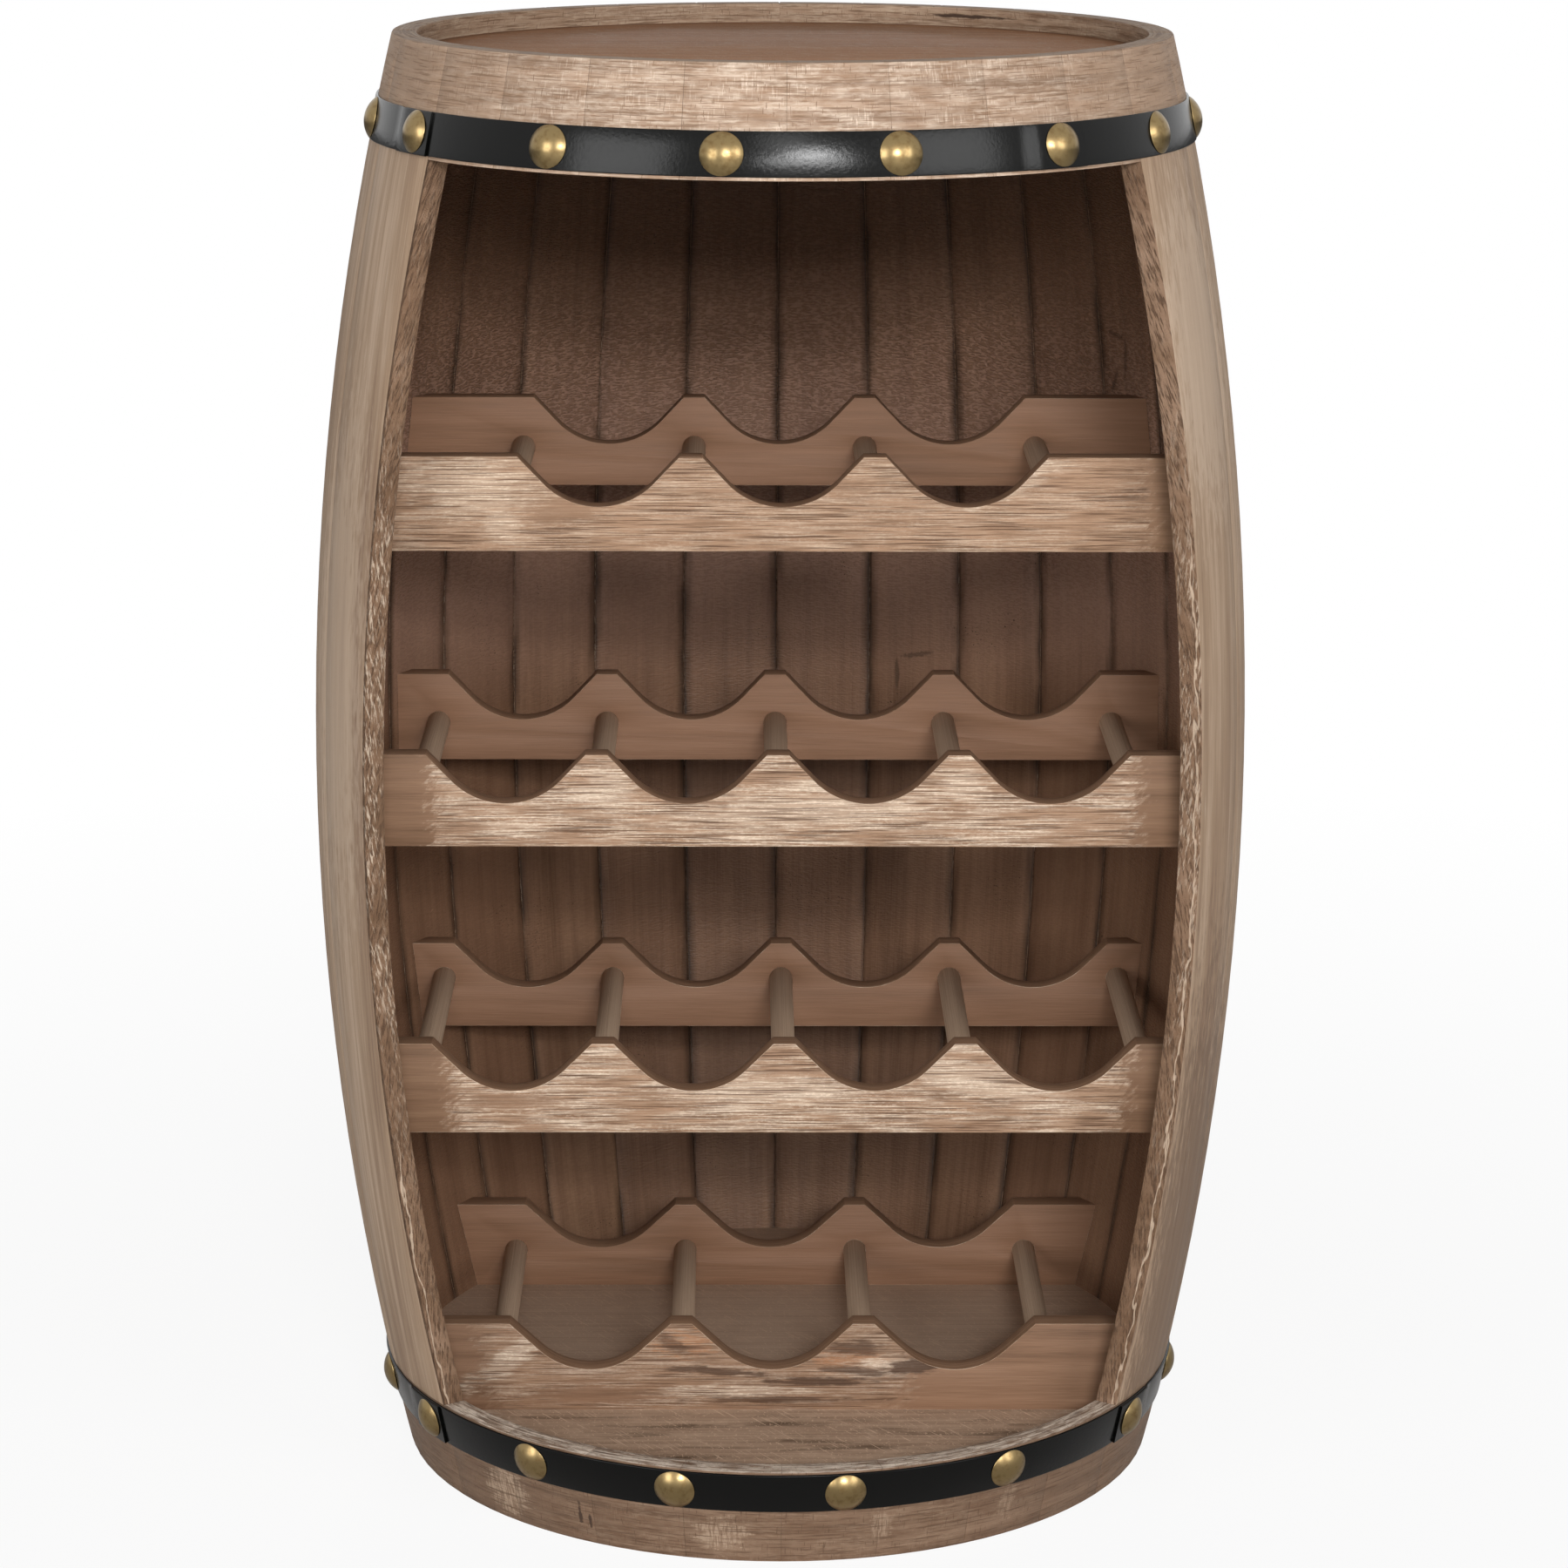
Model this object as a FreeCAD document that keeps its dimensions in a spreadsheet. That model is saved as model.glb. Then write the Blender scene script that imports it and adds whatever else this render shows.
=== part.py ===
"""Barrel wine rack: a coopered half-open barrel with four scalloped bottle tiers.

The part stands on the plane z = 0 with the barrel's axis on Z. The open side
faces -Y. All lengths are millimetres and all angles are degrees, and angles
round the barrel are counted from the front, positive to the right (+X).
"""
import FreeCAD, Part
import math
import os

import Sketcher
from FreeCAD import Placement, Rotation, Vector

# Driving dimensions, each written once.
SIZES = {
    # Barrel shell
    "barrel_height": 800.0,
    "belly_radius": 260.0,
    "belly_height": 395.0,
    "foot_radius": 213.7,
    "wall": 13.0,
    # Opening in the front of the shell
    "crown_height": 57.5,
    "lip_height": 56.0,
    "opening_end_angle": 55.5,
    "opening_belly_angle": 59.7,
    # Round boards that close the two ends
    "board_thickness": 12.0,
    "croze_depth": 3.0,
    "floor_top": 41.0,
    "top_recess": 11.0,
    # Steel hoops
    "hoop_width": 23.0,
    "hoop_thickness": 1.2,
    "upper_hoop_drop": 44.5,
    "lower_hoop_height": 43.5,
    "hoop_lap_angle": 8.5,
    "joggle_angle": 1.0,
    # Dome nails
    "nail_head_radius": 11.5,
    "nail_head_rise": 5.0,
    "nail_shank_radius": 1.5,
    "nail_shank_length": 10.0,
    # Scalloped rails
    "rail_height": 51.0,
    "rail_thickness": 14.0,
    "front_rail_plane": 97.0,
    "rear_rail_plane": 106.0,
    "tier_pitch": 163.3,
    "cradle_depth": 27.0,
    "cradle_radius": 41.0,
    "peak_flat": 12.0,
    "end_margin": 20.0,
    # Dowels between the rails
    "dowel_radius": 6.7,
    "dowel_seat": 7.0,
    # Clearances and the overrun of cutting tools
    "fit_gap": 0.1,
    "rail_gap": 0.2,
    "overrun": 60.0,
}

# Values that follow from the driving dimensions, as sheet formulas.
FORMULAS = {
    "opening_top": "=barrel_height - crown_height",
    "upper_hoop_height": "=barrel_height - upper_hoop_drop",
    "foot_drop": "=belly_radius - foot_radius",
    "bow_radius": "=(belly_height ^ 2 + foot_drop ^ 2) / (2 * foot_drop)",
    "bow_centre": "=bow_radius - belly_radius",
    "inner_bow": "=bow_radius - wall",
    "floor_level": "=floor_top - board_thickness",
    "top_level": "=barrel_height - top_recess - board_thickness",
    "floor_rise": "=belly_height - floor_level - board_thickness / 2",
    "top_rise": "=top_level + board_thickness / 2 - belly_height",
    "floor_inner": "=sqrt(inner_bow ^ 2 - floor_rise ^ 2) - bow_centre",
    "top_inner": "=sqrt(inner_bow ^ 2 - top_rise ^ 2) - bow_centre",
    "floor_groove": "=floor_inner + croze_depth",
    "top_groove": "=top_inner + croze_depth",
    "nail_sphere": "=(nail_head_radius ^ 2 + nail_head_rise ^ 2) / (2 * nail_head_rise)",
    "nail_sphere_base": "=nail_sphere - nail_head_rise",
    "front_rail_back": "=front_rail_plane - rail_thickness",
    "dowel_span": "=front_rail_back + rear_rail_plane",
    "dowel_end": "=dowel_seat - fit_gap",
}

# Staves: as many as would close the ring, the regular ones behind the opening,
# and the short ones that stand above it and again below it.
STAVES_ROUND = 27
REAR_STAVES = 16
SHORT_STAVES = 8

# Angles of the dome nails round each hoop, those in the laps last.
UPPER_NAILS = (-80.6, -32.7, -8.4, 14.9, 61.5, 84.5, 108.0, 132.0, 156.0,
               180.0, 204.0, 228.0, 252.0)
UPPER_LAP_NAILS = (-59.2, 38.9)
LOWER_NAILS = (-79.0, -37.3, -14.8, 8.8, 33.3, 83.0, 106.0, 130.0, 154.0,
               178.0, 202.0, 226.0, 254.0)
LOWER_LAP_NAILS = (-59.8, 60.3)

# Ends of the strips: where the upper one of each lap stops.
UPPER_LEFT_LAP = -55.5
UPPER_RIGHT_LAP = 43.0
LOWER_LEFT_LAP = -56.3
LOWER_RIGHT_LAP = 56.4

# Tiers from the top down: cradle pitch, sideways shift of the cradles and
# depth of the dowels' axes under the rails' top edge.
TIERS = (
    {"pitch": 98.5, "shift": 0.0, "dowel_drop": 29.0},
    {"pitch": 98.5, "shift": -2.0, "dowel_drop": 29.0},
    {"pitch": 100.0, "shift": 2.0, "dowel_drop": 21.5},
    {"pitch": 102.0, "shift": -4.0, "dowel_drop": 29.0},
)

# Layers of hoop strip that a piece of a lap fills, from the wall out.
INNER_LAYER = (0, 0)
OUTER_LAYER = (1, 1)
BOTH_LAYERS = (0, 1)

PARTS_FOLDER = "parts"
QUARTER_TURN = 90.0
FULL_TURN = 360.0
AXIS_Z = Vector(0, 0, 1)
ORIGIN_POINT = (-1, 1)
AXIS_H = -1
AXIS_V = -2

doc = FreeCAD.newDocument("barrel_wine_rack")
sheet = doc.addObject("Spreadsheet::Sheet", "Sizes")


def fill_sheet():
    """Write the driving dimensions and the formulas, one row each."""
    rows = list(SIZES.items()) + list(FORMULAS.items())
    for number, tier in enumerate(TIERS, 1):
        for quality in ("pitch", "shift", "dowel_drop"):
            rows.append((f"tier_{number}_{quality}", tier[quality]))
    for row, (alias, content) in enumerate(rows, 1):
        sheet.set(f"A{row}", alias)
        sheet.set(f"B{row}", str(content))
        sheet.setAlias(f"B{row}", alias)
    doc.recompute()


def size(alias):
    """Read one value of the sheet."""
    return float(getattr(sheet, alias))


def evaluate(expression):
    """Value of a sheet expression in millimetres or degrees."""
    return float(sheet.evalExpression(expression.replace("Sizes.", "")))


def bind(item, **expressions):
    """Bind properties of an object to expressions of the sheet."""
    for name, expression in expressions.items():
        item.setExpression(name, expression)


def turned(angle):
    """Placement that turns a shape about the barrel's axis."""
    return Placement(Vector(), Rotation(AXIS_Z, angle))


def new_body(name):
    """Start a body whose label is its own name."""
    body = doc.addObject("PartDesign::Body", name)
    body.Label = name
    return body


def new_sketch(body, name):
    """Start a sketch on the body's own XZ plane."""
    sketch = body.newObject("Sketcher::SketchObject", name)
    plane = [item for item in body.Origin.OriginFeatures if item.Role == "XZ_Plane"][0]
    sketch.AttachmentSupport = [(plane, "")]
    sketch.MapMode = "FlatFace"
    return sketch


def constrain(sketch, kind, *values, expression=None):
    """Add one constraint, bound to the sheet where it has a size."""
    index = sketch.addConstraint(Sketcher.Constraint(kind, *values))
    if expression:
        sketch.setExpression(f"Constraints[{index}]", expression)


def close_loop(sketch, ends):
    """Join the listed edge ends, pair by pair."""
    for first, second in ends:
        constrain(sketch, "Coincident", *first, *second)


def arc_about(centre, radius, low, high):
    """Arc bulging to +X between two heights."""
    start = math.asin((low - centre.y) / radius)
    stop = math.asin((high - centre.y) / radius)
    circle = Part.Circle(centre, AXIS_Z, radius)
    return Part.ArcOfCircle(circle, start, stop)


def bowed_ring(name, inner, outer, low, high, sweep=None):
    """Body turned from a profile between two arcs of the stave's bow.

    inner and outer are sheet expressions of the arcs' radii, low and high
    of the profile's heights, and sweep of the angle that it is turned by.
    """
    body = new_body(name)
    sketch = new_sketch(body, name + "_profile")
    inner_radius, outer_radius = evaluate(inner), evaluate(outer)
    bottom, top = evaluate(low), evaluate(high)
    centre = Vector(-size("bow_centre"), size("belly_height"), 0)
    outside = arc_about(centre, outer_radius, bottom, top)
    inside = arc_about(centre, inner_radius, bottom, top)
    sketch.addGeometry(outside, False)
    sketch.addGeometry(Part.LineSegment(outside.EndPoint, inside.EndPoint), False)
    sketch.addGeometry(inside, False)
    sketch.addGeometry(Part.LineSegment(inside.StartPoint, outside.StartPoint), False)
    close_loop(sketch, [((0, 2), (1, 1)), ((1, 2), (2, 2)),
                        ((2, 1), (3, 1)), ((3, 2), (0, 1)), ((0, 3), (2, 3))])
    constrain(sketch, "Horizontal", 1)
    constrain(sketch, "Horizontal", 3)
    constrain(sketch, "DistanceX", 0, 3, *ORIGIN_POINT, size("bow_centre"),
              expression="Sizes.bow_centre")
    constrain(sketch, "DistanceY", *ORIGIN_POINT, 0, 3, size("belly_height"),
              expression="Sizes.belly_height")
    constrain(sketch, "Radius", 0, outer_radius, expression=outer)
    constrain(sketch, "Radius", 2, inner_radius, expression=inner)
    if bottom:
        constrain(sketch, "DistanceY", *ORIGIN_POINT, 0, 1, bottom, expression=low)
    else:
        constrain(sketch, "PointOnObject", 0, 1, AXIS_H)
    constrain(sketch, "DistanceY", *ORIGIN_POINT, 0, 2, top, expression=high)
    turning = body.newObject("PartDesign::Revolution", name + "_turning")
    turning.Profile = sketch
    turning.ReferenceAxis = (sketch, ["V_Axis"])
    turning.Angle = FULL_TURN
    if sweep:
        bind(turning, Angle=sweep)
    return body


def cylinder(name, **expressions):
    """Cylinder primitive with its properties bound to the sheet."""
    item = doc.addObject("Part::Cylinder", name)
    bind(item, **expressions)
    return item


def sector(name, low, height, start, sweep):
    """Pie-shaped cutting tool from one angle round the barrel to another."""
    wedge = cylinder(name, Radius="Sizes.belly_radius + Sizes.overrun",
                     Height=height, Angle=str(sweep))
    wedge.Placement = turned(start - QUARTER_TURN)
    bind(wedge, **{"Placement.Base.z": low})
    return wedge


def cut(name, base, tool):
    """First object less the second."""
    item = doc.addObject("Part::Cut", name)
    item.Base = base
    item.Tool = tool
    return item


def common(name, base, tool):
    """What two objects share."""
    item = doc.addObject("Part::Common", name)
    item.Base = base
    item.Tool = tool
    return item


def fuse(name, shapes):
    """One solid from several objects."""
    item = doc.addObject("Part::MultiFuse", name)
    item.Shapes = shapes
    return item


def group(name, members):
    """Several solids kept apart in one object."""
    item = doc.addObject("Part::Compound", name)
    item.Links = members
    return item


def opening_tool():
    """Wedge that opens the front, widest at the belly, its faces radial."""
    levels = (
        ("low", "Sizes.lip_height", "Sizes.opening_end_angle"),
        ("belly", "Sizes.belly_height", "Sizes.opening_belly_angle"),
        ("high", "Sizes.opening_top", "Sizes.opening_end_angle"),
    )
    sketches = [opening_section(*level) for level in levels]
    loft = doc.addObject("Part::Loft", "opening_tool")
    loft.Sections = sketches
    loft.Solid = True
    loft.Ruled = False
    return loft


def opening_section(name, height, half_angle):
    """Level triangle from the axis out past the wall."""
    sketch = doc.addObject("Sketcher::SketchObject", "opening_" + name)
    reach = size("belly_radius") + size("overrun")
    turn = math.radians(evaluate(half_angle))
    axis = Vector(0, 0, 0)
    right = Vector(reach * math.sin(turn), -reach * math.cos(turn), 0)
    left = Vector(-right.x, right.y, 0)
    for start, stop in ((axis, right), (right, left), (left, axis)):
        sketch.addGeometry(Part.LineSegment(start, stop), False)
    close_loop(sketch, [((0, 2), (1, 1)), ((1, 2), (2, 1)), ((2, 2), (0, 1)),
                        ((0, 1), ORIGIN_POINT)])
    constrain(sketch, "Symmetric", 1, 2, 1, 1, AXIS_V)
    constrain(sketch, "Distance", 0, reach,
              expression="Sizes.belly_radius + Sizes.overrun")
    constrain(sketch, "Angle", 2, 2, 0, 1, 2 * turn, expression=f"2 * {half_angle}")
    bind(sketch, **{"Placement.Base.z": height})
    return sketch


def build_shell():
    """Whole barrel wall with its grooves and nail holes, and with its opening."""
    ring = bowed_ring("shell_ring", "Sizes.inner_bow", "Sizes.bow_radius",
                      "0", "Sizes.barrel_height")
    grooves = []
    for end in ("floor", "top"):
        groove = cylinder(end + "_croze", Radius=f"Sizes.{end}_groove",
                          Height="Sizes.board_thickness + 2 * Sizes.fit_gap")
        bind(groove, **{"Placement.Base.z": f"Sizes.{end}_level - Sizes.fit_gap"})
        grooves.append(groove)
    grooved = cut("grooved_shell", ring, group("crozes", grooves))
    return cut("open_shell", grooved, opening_tool())


def build_staves(shell):
    """Part the shell into staves along radial seams."""
    staves = []
    edge = size("opening_end_angle")
    regular = FULL_TURN / STAVES_ROUND
    seam = (FULL_TURN - REAR_STAVES * regular) / 2
    seams = [edge] + [seam + regular * step for step in range(REAR_STAVES + 1)]
    seams.append(FULL_TURN - edge)
    for number, (start, stop) in enumerate(zip(seams, seams[1:]), 1):
        wedge = sector(f"stave_{number:02d}_seams", "0", "Sizes.barrel_height",
                       start, stop - start)
        staves.append(common(f"stave_{number:02d}", shell, wedge))
    short = 2 * edge / SHORT_STAVES
    ends = (("bottom", "0", "Sizes.lip_height"),
            ("top", "Sizes.opening_top", "Sizes.barrel_height - Sizes.opening_top"))
    for end, low, height in ends:
        for number in range(SHORT_STAVES):
            name = f"{end}_stave_{number + 1}"
            wedge = sector(name + "_seams", low, height, number * short - edge, short)
            staves.append(common(name, shell, wedge))
    return staves


def build_boards():
    """Floor board and recessed top board, seated in their crozes."""
    boards = []
    for end in ("floor", "top"):
        board = cylinder(end + "_board", Radius=f"Sizes.{end}_groove - Sizes.fit_gap",
                         Height="Sizes.board_thickness")
        bind(board, **{"Placement.Base.z": f"Sizes.{end}_level"})
        boards.append(board)
    return boards


def radial(height, lift, angle):
    """Placement of a shape that stands on the wall, its +Z square to the bow."""
    bow = size("bow_radius")
    slope = math.degrees(math.asin((height - size("belly_height")) / bow))
    centre = Vector(-size("bow_centre"), 0, size("belly_height"))
    upright = Placement(Vector(bow + lift, 0, 0), Rotation(Vector(0, 1, 0), QUARTER_TURN))
    tilt = Placement(centre, Rotation(Vector(0, 1, 0), -slope))
    return turned(angle - QUARTER_TURN).multiply(tilt).multiply(upright)


def copy_on_wall(name, source, height, lift, angles):
    """Copies of a small shape round the wall at one height."""
    copies = []
    for number, angle in enumerate(angles, 1):
        link = doc.addObject("App::Link", f"{name}_{number}")
        link.LinkedObject = source
        link.LinkTransform = True
        link.LinkPlacement = radial(height, lift, angle)
        copies.append(link)
    return copies


def build_nail():
    """Dome-headed nail, standing on the underside of its head."""
    dome = doc.addObject("Part::Sphere", "nail_dome")
    bind(dome, Radius="Sizes.nail_sphere",
         Angle1="asin(Sizes.nail_sphere_base / Sizes.nail_sphere)")
    bind(dome, **{"Placement.Base.z": "-Sizes.nail_sphere_base"})
    shank = cylinder("nail_shank", Radius="Sizes.nail_shank_radius",
                     Height="Sizes.nail_shank_length")
    bind(shank, **{"Placement.Base.z": "-Sizes.nail_shank_length"})
    return fuse("nail", [dome, shank])


def build_nail_hole():
    """Bore for a nail's shank, open at its outer end."""
    bore = cylinder("nail_bore", Radius="Sizes.nail_shank_radius + Sizes.fit_gap",
                    Height="Sizes.nail_shank_length + Sizes.fit_gap + Sizes.hoop_width")
    bind(bore, **{"Placement.Base.z": "-Sizes.nail_shank_length - Sizes.fit_gap"})
    return bore


def strip(name, level, layers, start, stop):
    """Length of hoop strip that fills the given layers of a lap."""
    first, last = layers
    inner = (f"Sizes.bow_radius + {first + 1} * Sizes.fit_gap"
             f" + {first} * Sizes.hoop_thickness")
    outer = (f"Sizes.bow_radius + {last + 1} * Sizes.fit_gap"
             f" + {last + 1} * Sizes.hoop_thickness")
    body = bowed_ring(name, inner, outer,
                      f"Sizes.{level}_hoop_height - Sizes.hoop_width / 2",
                      f"Sizes.{level}_hoop_height + Sizes.hoop_width / 2",
                      sweep=str(stop - start))
    body.Placement = turned(start - QUARTER_TURN)
    return body


def joggled_strip(name, level, start, stop, over_start, over_stop, bores):
    """Hoop strip that climbs over its neighbour where it laps on top.

    start and stop are the visible ends. An end that laps on top keeps its
    outer layer, and the other one slips under its neighbour.
    """
    lap = size("hoop_lap_angle")
    joggle = size("joggle_angle")
    low, high = start, stop
    pieces = []
    if over_start:
        low = start + lap + joggle
        pieces.append(strip(name + "_start_lap", level, OUTER_LAYER, start, low + joggle))
        pieces.append(strip(name + "_start_joggle", level, BOTH_LAYERS, low, low + joggle))
    if over_stop:
        high = stop - lap - joggle
        pieces.append(strip(name + "_end_lap", level, OUTER_LAYER, high - joggle, stop))
        pieces.append(strip(name + "_end_joggle", level, BOTH_LAYERS, high - joggle, high))
    pieces.append(strip(name + "_run", level, INNER_LAYER, low, high))
    whole = fuse(name + "_blank", pieces) if len(pieces) > 1 else pieces[0]
    return cut(name, whole, bores)


def build_hoop(level, bores, front, rear):
    """Front and rear strips of one hoop.

    front and rear hold each strip's two end angles and whether each end
    laps on top of the other strip.
    """
    return [joggled_strip(f"{level}_hoop_{side}", level, *ends, bores)
            for side, ends in (("front", front), ("rear", rear))]


def build_hoops(upper_bores, lower_bores):
    """Both hoops, each a front and a rear strip that lap and share a nail."""
    lap = size("hoop_lap_angle")
    upper = build_hoop("upper", upper_bores,
                       (UPPER_LEFT_LAP - lap, UPPER_RIGHT_LAP, False, True),
                       (UPPER_RIGHT_LAP - lap, UPPER_LEFT_LAP + FULL_TURN, False, True))
    lower = build_hoop("lower", lower_bores,
                       (LOWER_LEFT_LAP - lap, LOWER_RIGHT_LAP + lap, False, False),
                       (LOWER_RIGHT_LAP, LOWER_LEFT_LAP + FULL_TURN, True, True))
    return upper + lower


def build_nails(shape, name, level, plain, lapped):
    """Copies of a nail, or of its bore, round one hoop."""
    height = size(f"{level}_hoop_height")
    layer = size("hoop_thickness") + size("fit_gap")
    seat = layer + size("fit_gap")
    copies = copy_on_wall(name + "_plain", shape, height, seat, plain)
    copies += copy_on_wall(name + "_lap", shape, height, seat + layer, lapped)
    return group(name, copies)


def rail_blank(name, forward):
    """Straight board, its dowel face on the body's own XZ plane."""
    body = new_body(name)
    sketch = new_sketch(body, name + "_outline")
    half, tall = size("belly_radius"), size("rail_height")
    corners = [Vector(-half, 0, 0), Vector(half, 0, 0),
               Vector(half, tall, 0), Vector(-half, tall, 0)]
    for start, stop in zip(corners, corners[1:] + corners[:1]):
        sketch.addGeometry(Part.LineSegment(start, stop), False)
    close_loop(sketch, [((0, 2), (1, 1)), ((1, 2), (2, 1)),
                        ((2, 2), (3, 1)), ((3, 2), (0, 1))])
    constrain(sketch, "PointOnObject", 0, 1, AXIS_H)
    constrain(sketch, "Horizontal", 2)
    constrain(sketch, "Vertical", 1)
    constrain(sketch, "Vertical", 3)
    constrain(sketch, "Symmetric", 0, 1, 0, 2, AXIS_V)
    constrain(sketch, "DistanceX", 0, 1, 0, 2, 2 * half,
              expression="2 * Sizes.belly_radius")
    constrain(sketch, "DistanceY", 1, 1, 1, 2, tall, expression="Sizes.rail_height")
    board = body.newObject("PartDesign::Pad", name + "_board")
    board.Profile = sketch
    board.Reversed = not forward
    bind(board, Length="Sizes.rail_thickness")
    return body


def row_along_x(body, name, feature, sketch, count, pitch):
    """Repeat a feature of the body along X."""
    row = body.newObject("PartDesign::LinearPattern", name)
    row.Originals = [feature]
    row.Direction = (sketch, ["H_Axis"])
    row.Occurrences = count
    bind(row, Length=f"{count - 1} * {pitch}")
    body.Tip = row


def cut_cradles(body, name, forward, number, bottles):
    """Cut the bottle scallops: straight flanks tangent to a round bottom."""
    pitch, shift = f"Sizes.tier_{number}_pitch", f"Sizes.tier_{number}_shift"
    first = f"{bottles - 1} * {pitch} / 2 - {shift}"
    half_width = f"({pitch} - Sizes.peak_flat) / 2"
    rise = "Sizes.rail_height - Sizes.cradle_depth + Sizes.cradle_radius"
    middle, half, height = -evaluate(first), evaluate(half_width), evaluate(rise)
    top, radius = size("rail_height"), size("cradle_radius")
    lean = (math.atan2(top - height, half)
            - math.acos(radius / math.hypot(half, top - height)))
    reach, drop = radius * math.cos(lean), radius * math.sin(lean)
    right = Vector(middle + reach, height + drop, 0)
    left = Vector(middle - reach, height + drop, 0)
    low = Vector(middle, height - radius, 0)
    shore, bank = Vector(middle + half, top, 0), Vector(middle - half, top, 0)
    sketch = new_sketch(body, name + "_scallop")
    sketch.addGeometry(Part.Arc(left, low, right), False)
    for start, stop in ((right, shore), (shore, bank), (bank, left)):
        sketch.addGeometry(Part.LineSegment(start, stop), False)
    constrain(sketch, "Tangent", 0, 2, 1, 1)
    constrain(sketch, "Tangent", 3, 2, 0, 1)
    close_loop(sketch, [((1, 2), (2, 1)), ((2, 2), (3, 1))])
    constrain(sketch, "Horizontal", 2)
    constrain(sketch, "DistanceY", *ORIGIN_POINT, 2, 1, top,
              expression="Sizes.rail_height")
    constrain(sketch, "DistanceY", *ORIGIN_POINT, 0, 3, height, expression=rise)
    constrain(sketch, "Radius", 0, radius, expression="Sizes.cradle_radius")
    constrain(sketch, "DistanceX", 0, 3, *ORIGIN_POINT, -middle, expression=first)
    constrain(sketch, "DistanceX", 0, 3, 2, 1, half, expression=half_width)
    constrain(sketch, "DistanceX", 2, 2, 0, 3, half, expression=half_width)
    pocket = body.newObject("PartDesign::Pocket", name + "_cradle")
    pocket.Profile = sketch
    pocket.Type = "ThroughAll"
    pocket.Reversed = forward
    row_along_x(body, name + "_cradles", pocket, sketch, bottles, pitch)


def bore_dowel_seats(body, name, forward, number, dowels):
    """Blind holes for the dowels, one under each peak."""
    pitch, shift = f"Sizes.tier_{number}_pitch", f"Sizes.tier_{number}_shift"
    first = f"{dowels - 1} * {pitch} / 2 - {shift}"
    height = f"Sizes.rail_height - Sizes.tier_{number}_dowel_drop"
    bore = "Sizes.dowel_radius + Sizes.fit_gap"
    sketch = new_sketch(body, name + "_seat_circle")
    centre = Vector(-evaluate(first), evaluate(height), 0)
    sketch.addGeometry(Part.Circle(centre, AXIS_Z, evaluate(bore)), False)
    constrain(sketch, "Radius", 0, evaluate(bore), expression=bore)
    constrain(sketch, "DistanceX", 0, 3, *ORIGIN_POINT, -centre.x, expression=first)
    constrain(sketch, "DistanceY", *ORIGIN_POINT, 0, 3, centre.y, expression=height)
    seat = body.newObject("PartDesign::Pocket", name + "_seat")
    seat.Profile = sketch
    seat.Reversed = forward
    bind(seat, Length="Sizes.dowel_seat")
    row_along_x(body, name + "_seats", seat, sketch, dowels, pitch)


def tier_base(number):
    """Height of a tier's rails, the lowest of which stand on the floor board."""
    return f"Sizes.floor_top + {len(TIERS) - number} * Sizes.tier_pitch"


def bottles_on(number):
    """Cradles that fit a tier between the margins at its front rail's ends."""
    level = evaluate(f"{tier_base(number)} + Sizes.rail_height - Sizes.belly_height")
    wall = math.sqrt(size("inner_bow") ** 2 - level ** 2) - size("bow_centre")
    chord = 2 * math.sqrt(wall ** 2 - size("front_rail_plane") ** 2)
    return int((chord - 2 * size("end_margin")) / size(f"tier_{number}_pitch"))


def build_rail(number, bottles, side, outside):
    """Scalloped rail whose ends are scribed to the inside of the wall.

    The front rail's board reaches forward from its dowel face, and the rear
    rail's board reaches back from its own.
    """
    forward = side == "front"
    name = f"tier_{number}_{side}_rail"
    body = rail_blank(name + "_blank", forward)
    cut_cradles(body, name, forward, number, bottles)
    bore_dowel_seats(body, name, forward, number, bottles + 1)
    plane = "-Sizes.front_rail_back" if forward else "Sizes.rear_rail_plane"
    bind(body, **{"Placement.Base.y": plane, "Placement.Base.z": tier_base(number)})
    return cut(name, body, outside)


def build_dowels(number, count):
    """Row of dowels that join a tier's two rails."""
    dowels = []
    pitch, shift = f"Sizes.tier_{number}_pitch", f"Sizes.tier_{number}_shift"
    for place in range(count):
        dowel = cylinder(f"tier_{number}_dowel_{place + 1}", Radius="Sizes.dowel_radius",
                         Height="Sizes.dowel_span + 2 * Sizes.dowel_end")
        dowel.Placement = Placement(Vector(), Rotation(Vector(1, 0, 0), -QUARTER_TURN))
        step = place - (count - 1) / 2
        bind(dowel, **{
            "Placement.Base.x": f"{step} * {pitch} + {shift}",
            "Placement.Base.y": "-Sizes.front_rail_back - Sizes.dowel_end",
            "Placement.Base.z": f"{tier_base(number)} + Sizes.rail_height"
                                f" - Sizes.tier_{number}_dowel_drop"})
        dowels.append(dowel)
    return group(f"tier_{number}_dowels", dowels)


def build_tiers():
    """Four tiers, each a front rail, a rear rail and the dowels between them."""
    outside = bowed_ring("outside_of_rails", "Sizes.inner_bow - Sizes.rail_gap",
                         "Sizes.bow_radius + Sizes.rear_rail_plane", "0",
                         "Sizes.barrel_height")
    pieces = []
    for number in range(1, len(TIERS) + 1):
        bottles = bottles_on(number)
        for side in ("front", "rear"):
            pieces.append(build_rail(number, bottles, side, outside))
        pieces.append(build_dowels(number, bottles + 1))
    return pieces


def check_and_export(pieces):
    """Stop on any failed object, then write each piece to its own file."""
    doc.recompute()
    for item in doc.Objects:
        if "Invalid" in item.State or "Error" in item.State:
            raise RuntimeError(f"{item.Name} failed: {item.State}")
    for piece in pieces:
        shape = piece.Shape
        if shape.isNull() or not shape.isValid() or not shape.Solids:
            raise RuntimeError(f"{piece.Name} has no valid solid")
    os.makedirs(PARTS_FOLDER, exist_ok=True)
    for piece in pieces:
        piece.Shape.exportStep(f"{PARTS_FOLDER}/{piece.Label}.step")


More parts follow.
